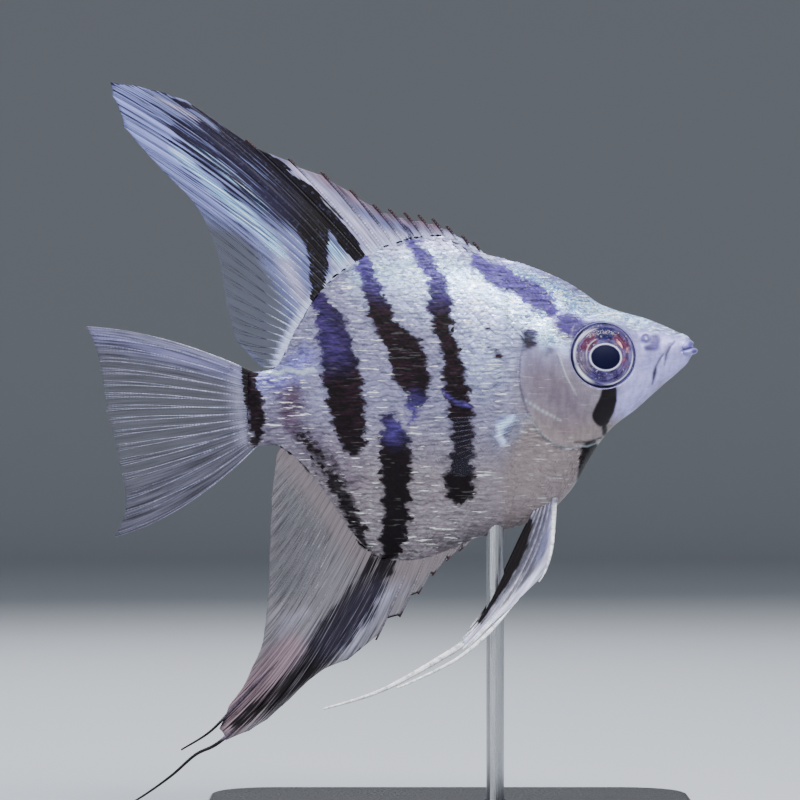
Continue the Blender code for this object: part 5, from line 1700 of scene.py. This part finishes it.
    def bones(self) -> None:
        """The spines, and soft rays that fork twice on their way out."""
        draft = Draft()
        draw = np.random.default_rng(len(self.rays) * 13 + len(self.name))
        thick, fine = self.ray_radius
        for i in range(len(self.rays)):
            if i < self.spines or not self.forks:
                radii = self.spine_radius if i < self.spines else self.ray_radius
                self.twig(draft, i, 0.0, 1.0, lambda t: 0.0 * t, radii, 40, 6)
                continue
            fork = self.first_fork + 0.05 * float(draw.normal())
            second = self.second_fork + 0.04 * float(draw.normal())
            at_fork = thick + (fine - thick) * fork
            at_second = thick * 0.85 + (fine - thick * 0.85) * second
            self.twig(draft, i, 0.0, fork, lambda t: 0.0 * t, (thick, at_fork), 14, 6)
            for way in (-1, 1):
                def branch(t: Array, way: int = way, fork: float = fork) -> Array:
                    """How far the branch sways towards a neighbour ray."""
                    return way * 0.15 * smooth_rise(fork - 0.02, fork + 0.42, t)

                self.twig(draft, i, fork - 0.02, second, branch, (at_fork * 0.75, at_second * 0.75), 10)
                for spread in (-1, 1):
                    def tip(t: Array, branch: Callable = branch, spread: int = spread,
                            second: float = second) -> Array:
                        """How far the twig sways, with its branch and off it."""
                        return branch(t) + spread * 0.075 * smooth_rise(second - 0.02, second + 0.3, t)

                    reach = 1.0 - 0.03 * float(draw.random())
                    self.twig(draft, i, second - 0.02, reach, tip, (at_second * 0.6, fine * 0.6), 10)
        for path, wide, thick_half in self.extra:
            points, faces = sweep(path, wide, thick_half, 6)
            run = run_along(path)
            run = np.append(np.repeat(run, 6), (run[0], run[-1]))
            draft.add(points, faces, run=run, tip=0.0, along=1.0, flesh=0.0, **self.shades(points))
        draft.build(f"{self.name}_rays", self.bone_finish, self.slot, self.nodes)

    def build(self) -> None:
        """Makes the web and the rays."""
        self.web()
        self.bones()


def closed_sheet(middle: Array, half: Array) -> tuple[list[Array], Array]:
    """A thin closed sheet about a grid of places, thicker or thinner from point to point.

    Args:
        middle: Grid of places, rows by columns by three.
        half: Half thickness at each place.

    Returns:
        The blocks of faces, and the points.
    """
    along = np.gradient(middle, axis=0)
    across = np.gradient(middle, axis=1)
    normal = unit(np.cross(along, across))
    rise = normal * half[..., None]
    points = np.vstack([(middle + rise).reshape(-1, 3), (middle - rise).reshape(-1, 3)])
    return sheet_faces(*middle.shape[:2]), points


DORSAL_SPINES = (
    (4.3, 3.1, 21.3), (3.2, 1.6, 22.2), (2, -0.5, 23.5), (0.7, -2.4, 24.5),
    (-0.8, -4.3, 25), (-2.3, -6.2, 25.3), (-3.8, -8.3, 25.8), (-5.2, -10.4, 26.4),
    (-6.6, -13.5, 28.4), (-8, -17.4, 30.8), (-9.4, -21.8, 32.6), (-10.7, -27.6, 35.2),
)
DORSAL_GUIDE = (
    (0.00, -36.2, 41, 54, 39), (0.05, -40.8, 42.7, 55, 31), (0.10, -45.2, 43.6, 54, 29),
    (0.13, -46.7, 43.4, 52, 27), (0.18, -46, 41, 51, 29), (0.26, -44.2, 36.7, 49, 32),
    (0.36, -40.3, 32.4, 46, 35), (0.48, -34.4, 26.6, 42, 36), (0.60, -31.6, 20.2, 37, 33),
    (0.74, -30.6, 13.4, 31, 29), (0.88, -28.9, 7.8, 25, 22), (1.00, -25.4, 4.4, 16, 12),
)
ANAL_SPINES = ((2.8, 1.2, -20.4), (1.6, -0.5, -21.7), (0.3, -2.4, -23.7), (-1.3, -4.3, -26.2),
    (-3.1, -6.8, -29.3), (-5.1, -10, -32.4),)
ANAL_GUIDE = (
    (0.00, -13.9, -35.2, 68, 52), (0.05, -17.9, -36.9, 67, 48), (0.10, -20.6, -39.4, 66, 46),
    (0.15, -24.3, -42.9, 65, 44), (0.20, -27.8, -45.6, 64, 42), (0.25, -31.2, -46.4, 63, 40),
    (0.30, -31.6, -43.6, 61, 42), (0.36, -28.4, -39.4, 60, 44), (0.44, -25.8, -34, 58, 46),
    (0.54, -24.8, -28.2, 56, 47), (0.68, -24.6, -21, 55, 48), (0.84, -24.2, -13.2, 58, 56),
    (1.00, -23.4, -7.4, 64, 66),
)
ANAL_FILAMENTS = (
    ((-22.5, -37), (-26.5, -42), (-31.2, -46.3), (-34.4, -48), (-37.6, -50.8), (-41, -53.3),
        (-44.6, -55.6)),
    ((-23.2, -35.2), (-26.6, -38.8), (-29.6, -42), (-32.6, -45), (-36.4, -47.4)),
)
TAIL_ROOTS = ((-25.9, 3.4), (-25.9, -6.0))
TAIL_GUIDE = (
    (0.00, -50, 10.1, 27, 3), (0.06, -49.2, 8.9, 24, 2), (0.20, -47.9, 5.6, 15, 1),
    (0.40, -47.1, 0.6, 1, -3), (0.60, -46.2, -4.6, -12, -8), (0.80, -44.6, -10.6, -26, -14),
    (0.92, -44.2, -15.2, -39, -18), (1.00, -45.9, -18.8, -47, -15),
)
BREAST_ROOTS = ((9.0, -1.9), (8.0, -5.7))
BREAST_GUIDE = ((0.00, -7.2, -2.4, -4, 2), (0.20, -8, -4.4, -9, -4), (0.45, -6.6, -7.2, -18, -11),
    (0.75, -2.4, -9.9, -31, -25), (1.00, 2.4, -10.2, -44, -40),)
BREAST_OUT = (5.9, 8.3)
PELVIC_ROOTS = ((13.9, -14.6), (10.7, -16.2))
PELVIC_SPINE = RayLine((13.9, -14.6), (11.9, -24.4), -84, -52)
PELVIC_GUIDE = ((0.00, 2.4, -33, 82, 42), (0.25, 1.4, -33.6, 79, 42), (0.50, 1.6, -32.6, 74, 45),
    (0.75, 2.6, -31.2, 68, 50), (1.00, 3.9, -29.8, 62, 58),)
PELVIC_OUT = (1.5, 3.6)
PELVIC_TURN_Z = -28.0
PELVIC_THREADS = {
    Side.RIGHT: ((9.2, -26.7), (6.9, -29.3), (5, -31.3), (3.4, -32.8), (0.9, -34.7), (-2.4, -36.5),
        (-5.9, -38.1), (-7.2, -38.6)),
    Side.LEFT: ((7.2, -27.4), (3.8, -31.2), (1.9, -33.1), (-1.9, -35.5), (-5.7, -37.7), (-9.5, -39.6),
        (-13.2, -40.9), (-17.1, -42)),
}


@dataclass
class Fins:
    """All seven fins of the fish."""

    dorsal_soft: int = 25
    anal_soft: int = 26
    tail_soft: int = 16
    breast_soft: int = 12
    pelvic_soft: int = 5

    def thread(self, route: Sequence[tuple[float, float]], depth: Callable[[Array], Array],
            radii: tuple[float, float]) -> tuple[Array, Array, Array]:
        """A trailing filament as a tapered path.

        Args:
            route: Places (x, z) that it passes.
            depth: Its y at each height.
            radii: Radius at its start and end.

        Returns:
            The path, and its half widths both ways.
        """
        flat = path_through(route, 8)
        path = np.stack([flat[:, 0], depth(flat[:, 1]), flat[:, 1]], axis=1)
        share = np.linspace(0.0, 1.0, len(path))
        radius = (radii[0] + (radii[1] - radii[0]) * share) * (0.15 + 0.85 * smooth_rise(0.0, 0.3, share))
        return path, radius, np.minimum(radius, 0.22)

    def build(self) -> None:
        """Makes every fin."""
        dark_ray = (0.045, 0.04, 0.07)
        back_flesh, belly_flesh = (0.50, 0.54, 0.78), (0.18, 0.155, 0.17)
        dorsal_web = WebFinish("dorsal_web", (0.15, 0.17, 0.36), 0.06, 0.92, 5.0, (0.35, 1.6),
            pale=(0.50, 0.47, 0.68), lilac=(0.24, 0.27, 0.60), flesh=back_flesh, ink_edge=0.14,
            glitter=0.15)
        dorsal_bones = BoneFinish("dorsal_rays", (0.55, 0.57, 0.80), dark_ray, (0.2, 0.55),
            bright=(0.42, 0.40, 0.60), flesh=back_flesh)
        Fin("dorsal", ("dorsal_fin",), "dark_fin",
            [*spine_rays(BACK, DORSAL_SPINES, 1), *guided_rays(spread_roots(BACK, -11.8, -22.6,
            self.dorsal_soft), DORSAL_GUIDE, 1, 0.02)], len(DORSAL_SPINES), DORSAL_PATTERN,
            dorsal_web.material(), dorsal_bones.material(), spine_radius=(0.24, 0.17),
            ray_radius=(0.13, 0.045), spine_notch=1.6, stands_out=1.0, soft_notch=0.01, hem_dark=0.2,
            tip_dark=1.5, flesh_reach=(1.2, 3.2)).build()
        still = [self.thread(route, lambda z: 0.0 * z, (0.3, 0.12)) for route in ANAL_FILAMENTS]
        anal_web = WebFinish("anal_web", (0.20, 0.19, 0.215), 0.3, 0.92, 8.0, (0.25, 1.6),
            pale=(0.36, 0.36, 0.46), lilac=(0.20, 0.20, 0.34), warm=(0.26, 0.18, 0.215),
            dusk=(0.022, 0.019, 0.036), flesh=belly_flesh, ink_edge=0.3)
        anal_bones = BoneFinish("anal_rays", (0.25, 0.235, 0.27), (0.12, 0.11, 0.14), (0.35, 0.8),
            bright=(0.36, 0.36, 0.46), joint_tone=0.8, flesh=belly_flesh)
        Fin("anal", ("anal_fin",), "dark_fin", [*spine_rays(BELLY, ANAL_SPINES, -1),
            *guided_rays(spread_roots(BELLY, -6.8, -22.6, self.anal_soft), ANAL_GUIDE, -1, 0.03, 11)],
            len(ANAL_SPINES), ANAL_PATTERN, anal_web.material(), anal_bones.material(), extra=still,
            spine_radius=(0.2, 0.12), ray_radius=(0.12, 0.04), spine_notch=3.2, stands_out=0.1,
            soft_notch=0.012, hem_dark=1.0, tip_dark=0.8, flesh_reach=(1.4, 6.0)).build()
        tail_roots = roots_between(TAIL_ROOTS, self.tail_soft)
        tail_web = WebFinish("tail_web", (0.09, 0.085, 0.13), 0.17, 0.42, 6.0, (0.2, 1.9),
            pale=(0.60, 0.60, 0.86), lilac=(0.21, 0.20, 0.44))
        tail_bones = BoneFinish("tail_rays", (0.46, 0.46, 0.68), (0.36, 0.36, 0.52), joint_tone=0.3)
        Fin("tail", ("tail_fin",), "clear_fin", guided_rays(tail_roots, TAIL_GUIDE, 1, 0.015, 5), 0,
            TAIL_PATTERN, tail_web.material(), tail_bones.material(), ray_radius=(0.105, 0.035),
            soft_notch=0.01, first_fork=0.3, second_fork=0.7).build()
        # The pectoral web's pale colour is the colour of the painted highlight at the fin's base.
        breast_web = WebFinish("breast_web", (0.30, 0.32, 0.52), 0.006, 0.015, 2.0,
            pale=(0.62, 0.72, 1.0)).material()
        breast_bones = BoneFinish("breast_rays", (0.62, 0.70, 1.0), (0.40, 0.42, 0.64), joint_tone=1.0,
            solid=(0.08, 0.0), knuckle_depth=0.003).material()
        pelvic_web = WebFinish("pelvic_web", (0.15, 0.145, 0.19), 0.2, 0.7, 4.0, (0.5, 1.3),
            pale=(0.72, 0.71, 0.96)).material()
        pelvic_bones = BoneFinish("pelvic_rays", (0.22, 0.21, 0.29), (0.98, 0.98, 1.0), (0.8, 0.97),
            bright=(0.96, 0.96, 1.0), joint_tone=1.0, knuckle_depth=0.003).material()
        for side in Side:
            self.breast(side, breast_web, breast_bones)
            self.pelvic(side, pelvic_web, pelvic_bones)

    def breast(self, side: Side, web: Material, bones: Material) -> None:
        """One pectoral fin: a fan held off the flank."""
        near, far = BREAST_OUT
        roots = roots_between(BREAST_ROOTS, self.breast_soft)
        Fin(f"pectoral_{side.word}", (f"pectoral_fin_{side.word}",), "clear_fin",
            guided_rays(roots, BREAST_GUIDE, 1, 0.02, 3), 0, BREAST_PATTERN, web, bones, side=side,
            depth=lambda x, z, t: side.value * (near + (far - near)
            * np.sin(np.clip(t, 0, 1) * math.pi / 2)), ray_radius=(0.1, 0.025), web_half=(0.05, 0.02),
            pleat=0.03, web_rows=30, first_fork=0.45, second_fork=0.75).build()

    def pelvic(self, side: Side, web: Material, bones: Material) -> None:
        """One pelvic fin: spine, narrow blade and a trailing filament."""
        near, far = PELVIC_OUT
        top = PELVIC_ROOTS[0][1]

        def depth(z: Array) -> Array:
            """How far out the fin stands at each height."""
            share = np.clip((top - z) / (top - PELVIC_TURN_Z), 0.0, 1.3)
            return side.value * (near + (far - near) * share)

        roots = roots_between(PELVIC_ROOTS, self.pelvic_soft, 0.2)
        thread = self.thread(PELVIC_THREADS[side], depth,
            (0.56, 0.13) if side is Side.LEFT else (0.36, 0.12))
        Fin(f"pelvic_{side.word}", (f"pelvic_fin_{side.word}",), "clear_fin",
            [PELVIC_SPINE, *guided_rays(roots, PELVIC_GUIDE, -1, 0.0)], 1, PELVIC_PATTERN, web, bones,
            side=side, depth=lambda x, z, t: depth(z), spine_radius=(0.45, 0.1), ray_radius=(0.16, 0.1),
            web_half=(0.1, 0.05), pleat=0.02, bar_tips=False, forks=False, extra=[thread]).build()


@dataclass(frozen=True)
class Arc:
    """Part of a ring of the iris; angle is its middle and sweep its half length, both in degrees."""

    shade: str
    radius: float
    half: float
    angle: float
    sweep: float
    depth: float = 1.0

    def cover(self, far: Array, turn: Array) -> Array:
        """How much of its shade lies at some distances and turns."""
        away = np.abs((np.degrees(turn) - self.angle + 180) % 360 - 180)
        soft = min(0.3, self.half * 0.8)
        ring = 1 - smooth_rise(self.half - soft, self.half + soft, np.abs(far - self.radius))
        return self.depth * ring * (1 - smooth_rise(self.sweep - 14, self.sweep + 14, away))


IRIS_ARCS = (
    Arc("mauve", 2.65, 0.8, 140, 30), Arc("mauve", 3.1, 0.55, 36, 28), Arc("mauve", 3, 0.5, 345, 22, 0.6),
    Arc("mauve", 2.9, 0.7, 272, 46, 0.35), Arc("blue", 3, 0.9, 86, 24),
        Arc("blue", 2.9, 0.8, 272, 46, 0.6),
    Arc("blue", 3.7, 0.2, 60, 60, 0.5), Arc("beige", 3, 0.75, 200, 34),
        Arc("beige", 2.45, 0.2, 60, 30, 0.5),
    Arc("rose", 3.25, 0.32, 8, 4), Arc("rose", 2.75, 0.12, 30, 16, 0.8), Arc("pale", 3.92, 0.2, 222, 20),
    Arc("pale", 3.95, 0.12, 160, 36, 0.75), Arc("pale", 3.72, 0.1, 128, 20, 0.7),
        Arc("pale", 3.98, 0.08, 320, 44, 0.7),
    Arc("pale", 2.35, 0.07, 150, 36, 0.45), Arc("navy", 4.3, 0.22, 236, 56),
        Arc("navy", 4.2, 0.1, 150, 44, 0.75),
    Arc("navy", 4.15, 0.07, 322, 44, 0.6), Arc("navy", 3.62, 0.06, 250, 60, 0.5),
)


@dataclass
class Eye:
    """One eye: iris, pupil and pale rings under a clear dome, in a thin rim."""

    side: Side
    iris_finish: Material
    cornea_finish: Material
    rim_finish: Material
    radius: float = EYE_RADIUS
    dome: float = 1.15
    pupil: tuple[float, float] = (1.98, 1.66)
    pupil_shift: tuple[float, float] = (0.28, -0.26)
    rings: int = 64
    spokes: int = 160
    rim_radius: float = 4.56
    rim_half: float = 0.14

    def disc(self) -> tuple[Array, Array, Array]:
        """Distance, turn and local places of a round grid over the eye."""
        far = np.linspace(0.0, 1.0, self.rings + 1)[1:, None] * self.radius * 0.995
        turn = np.linspace(0.0, 2 * math.pi, self.spokes, endpoint=False)[None]
        far, turn = np.broadcast_arrays(far, turn)
        return far, turn, np.stack([far * np.cos(turn), far * np.sin(turn)], axis=-1)

    def close(self, height: Array, low: float, flat: Array) -> tuple[Array, list[Array]]:
        """A lens-shaped lump under a height field over the disc.

        Args:
            height: Outward place of each disc point.
            low: Outward place of the flat underside.
            flat: Places of the disc, ahead and up.

        Returns:
            The points in the fish's frame, and the face blocks.
        """
        top = np.stack([flat[..., 0], height, flat[..., 1]], axis=-1).reshape(-1, 3)
        centre = np.array([[0.0, height[0].mean(), 0.0]])
        under = np.array([[0.0, low, 0.0]])
        points = np.vstack([centre, top, under])
        return EyeSeat(self.side).outside(points), capped_faces(*height.shape)

    def build(self) -> None:
        """Makes the iris, the cornea and the rim."""
        far, turn, flat = self.disc()
        from_pupil = np.hypot((flat[..., 0] - self.pupil_shift[0]) / self.pupil[0],
            (flat[..., 1] - self.pupil_shift[1]) / self.pupil[1])
        lens = smooth_rise(1.0, 0.96, from_pupil)
        ring = np.exp(-(((from_pupil - 1.075) / 0.045) ** 2))
        bowl = 0.42 - 0.10 * (far / self.radius) ** 2 - 0.25 * smooth_rise(4.0, 4.4, far)
        height = bowl + 0.05 * ring
        height = np.where(from_pupil < 1.0, 0.34 + 0.5 * np.sqrt(np.clip(1 - from_pupil**2, 0, 1)),
            height)
        points, faces = self.close(height, -0.6, flat)

        def padded(values: Array) -> Array:
            """The disc's values with one for the centre before them and one for the underside after."""
            return np.concatenate([values[:1].mean(axis=1)[:1], values.ravel(), [0.0]])

        outside = smooth_rise(1.08, 1.2, from_pupil)
        shades = {name: np.zeros(far.shape) for name in ("mauve", "blue", "beige", "rose", "pale",
            "navy")}
        for arc in IRIS_ARCS:
            shades[arc.shade] = np.maximum(shades[arc.shade], arc.cover(far, turn) * outside)
        shades["pale"] = np.maximum(shades["pale"], ring)
        draft = Draft()
        draft.add(points, faces, lens=padded(lens), turn=padded(np.abs(turn / math.pi - 1) * 3),
            far=padded(far), **{name: padded(values) for name, values in shades.items()})
        draft.build(f"eye_iris_{self.side.word}", self.iris_finish, "eye", (f"eye_{self.side.word}",))
        dome = self.dome * np.sqrt(np.clip(1 - (far / self.radius) ** 2, 0.0, 1.0))
        points, faces = self.close(dome, 0.0, flat)
        draft = Draft()
        draft.add(points, faces)
        draft.build(f"eye_cornea_{self.side.word}", self.cornea_finish, "eye")
        around, sides = 96, 8
        angle = np.linspace(0.0, 2 * math.pi, around + 1)[:-1]
        loop = np.stack([np.cos(angle) * self.rim_radius, self.rim_half + 0.02 * np.sin(3 * angle),
            np.sin(angle) * self.rim_radius], axis=1)
        ways = np.arange(sides) * 2 * math.pi / sides
        radial = unit(loop * (1.0, 0.0, 1.0))
        rim = (loop[:, None] + self.rim_half * np.cos(ways)[None, :, None] * radial[:, None]
            + self.rim_half * np.sin(ways)[None, :, None] * np.array((0.0, 1.0, 0.0)))
        faces = grid_faces(around + 1, sides, closed=True) % (around * sides)
        draft = Draft()
        # Round the rim, paler on top and darker with lilac low at the rear: painted light and shade.
        shade = np.repeat(0.5 + 0.5 * np.sin(angle + 0.4), sides)
        draft.add(EyeSeat(self.side).outside(rim.reshape(-1, 3)), [faces], bar=0.35 * (1 - shade),
            violet=1.0, cyan=0.0, lilac=0.5 * (1 - shade), warm=0.0, pale=0.3 + 0.7 * shade, low=0.0,
            calm=1.0, gleam=0.0)
        draft.build(f"eye_rim_{self.side.word}", self.rim_finish, "skin")


@dataclass(frozen=True)
class Lip:
    """One lip: a rounded roll from one corner of the mouth round the front to the other."""

    name: str
    radius: float
    front: tuple[float, float]
    corner: tuple[float, float]
    heart: float = 0.0

    def build(self, finish: Material) -> None:
        """Makes the lip."""
        half_gape = float(HALF_WIDTH(self.corner[0])) * 0.95
        corner = np.array((self.corner[0], half_gape - self.radius * 0.3, self.corner[1]))
        front = np.array((self.front[0], 0.0, self.front[1]))
        turn = corner + (front - corner) * 0.75
        turn[1] = half_gape * 0.62
        half = [corner, turn, front]
        route = path_through([*half, *[p * (1, -1, 1) for p in half[-2::-1]]], 20)
        share = np.linspace(-1.0, 1.0, len(route))
        radius = self.radius * (0.55 + 0.45 * np.cos(share * math.pi / 2) ** 0.6)
        points, faces = sweep(route, radius * 1.7, radius, 24, (0.0, 0.0, 1.0))
        masks = BODY_PATTERN.masks(points[:, 0], points[:, 2], Side.RIGHT)
        heart = np.hypot((points[:, 0] - self.front[0] - 0.2) / 1.3, points[:, 2] - self.front[1] + 0.05)
        masks["pale"] = 0.7 * smooth_rise(0.3 * self.radius, 0.9 * self.radius, heart)
        masks["lilac"] = 1 - 0.7 * masks["pale"]
        masks["bar"] = np.maximum(masks["bar"] * 0.7, 0.5 * self.heart * (1 - masks["pale"] / 0.7))
        draft = Draft()
        draft.add(points, faces, low=0.0, calm=1.0, **masks)
        draft.build(self.name, finish, "skin")


@dataclass
class Stand:
    """The plain display stand, whose solids keep their shape."""

    def build(self) -> None:
        """Dresses base and rod."""
        for node, finish in (("stand_base", LacquerFinish()), ("stand_rod", SteelFinish())):
            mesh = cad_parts[node].data
            mesh.materials.clear()
            mesh.materials.append(finish.material())
            LOG.info("%s: %s", node, finish.name)


@dataclass
class Studio:
    """A pale round floor that rises into a wall, soft lights, and the camera at the photo's angle."""

    floor_radius: float = 1.05
    bend: float = 0.35
    wall_top: float = 1.1
    spokes: int = 96
    lens: float = 200.0
    camera_place: tuple[float, float, float] = (-0.00675, -0.6, 0.059)

    def floor(self) -> None:
        """The floor and wall as one turned sheet."""
        lean = np.linspace(0.0, math.pi / 2, 14)
        radius = np.concatenate([[0.0, 0.3, 0.7], self.floor_radius + self.bend * np.sin(lean),
            [self.floor_radius + self.bend]])
        height = np.concatenate([[0.0, 0.0, 0.0], self.bend * (1 - np.cos(lean)), [self.wall_top]])
        turn = np.linspace(0.0, 2 * math.pi, self.spokes, endpoint=False)
        points = np.stack([radius[:, None] * np.cos(turn), radius[:, None] * np.sin(turn),
            np.broadcast_to(height[:, None], (len(radius), self.spokes))], axis=-1)
        mesh = bpy.data.meshes.new("studio_floor")
        faces = grid_faces(len(radius), self.spokes, closed=True)
        sweep_faces = faces[self.spokes:, ::-1].tolist()
        mesh.from_pydata(points.reshape(-1, 3).tolist(), [],
            [*sweep_faces, list(range(self.spokes, 2 * self.spokes))])
        mesh.shade_smooth()
        mesh.materials.append(FloorFinish().material())
        new_object("studio_floor", mesh)

    def lamp(self, name: str, place: Sequence[float], size: tuple[float, float], watts: float,
            colour: tuple[float, float, float], aim: Sequence[float] = (-0.005, 0.0, 0.06)) -> None:
        """One soft oblong lamp aimed at the fish.

        Args:
            name: Its name.
            place: Where it hangs.
            size: Its width and height.
            watts: Its power.
            colour: Its colour.
            aim: The point that it faces.
        """
        light = bpy.data.lights.new(name, "AREA")
        light.shape = "RECTANGLE"
        light.size, light.size_y = size
        light.energy = watts
        light.color = colour
        lamp = new_object(name, light)
        lamp.location = place
        lamp.rotation_mode = "QUATERNION"
        lamp.rotation_quaternion = (Vector(aim) - Vector(place)).to_track_quat("-Z", "Y")

    def build(self) -> None:
        """Makes floor, lights, world and camera."""
        self.floor()
        self.lamp("key", (0.14, -0.38, 0.44), (0.36, 0.10), 4.2, (1.0, 0.99, 1.0))
        self.lamp("overhead", (-0.02, 0.02, 0.50), (0.45, 0.20), 3.2, (0.88, 0.94, 1.0))
        self.lamp("fill", (-0.40, -0.55, 0.14), (0.35, 0.30), 0.9, (0.93, 0.95, 1.0))
        self.lamp("far_side", (-0.1, 0.45, 0.38), (0.4, 0.15), 2.4, (0.98, 0.98, 1.0))
        world = bpy.data.worlds.new("studio_air")
        world.use_nodes = True
        world.node_tree.nodes["Background"].inputs["Color"].default_value = (0.78, 0.84, 0.95, 1.0)
        world.node_tree.nodes["Background"].inputs["Strength"].default_value = 0.2
        bpy.context.scene.world = world
        view = bpy.data.cameras.new("camera")
        view.lens = self.lens
        view.sensor_width = 36.0
        view.clip_start, view.clip_end = 0.01, 20.0
        camera = new_object("camera", view)
        camera.location = self.camera_place
        camera.rotation_euler = (math.pi / 2, 0.0, 0.0)
        bpy.context.scene.camera = camera


def main() -> None:
    """Builds the fish, its stand and the studio."""
    logging.basicConfig(level=logging.INFO, format="%(name)s %(message)s")
    form = BodyForm()
    skin = Skin(form).build()
    skin_finish = skin.data.materials[0]
    for side in Side:
        Coat(form, side).build()
    Lip("lip_upper", 0.48, (32.1, 7.66), (31.2, 7.0)).build(skin_finish)
    Lip("lip_lower", 0.46, (32.68, 6.62), (31.3, 6.4), 1.0).build(skin_finish)
    iris, cornea = IrisFinish().material(), CorneaFinish().material()
    for side in Side:
        Eye(side, iris, cornea, skin_finish).build()
    Fins().build()
    Stand().build()
    Studio().build()


if __name__ == "__main__":
    main()
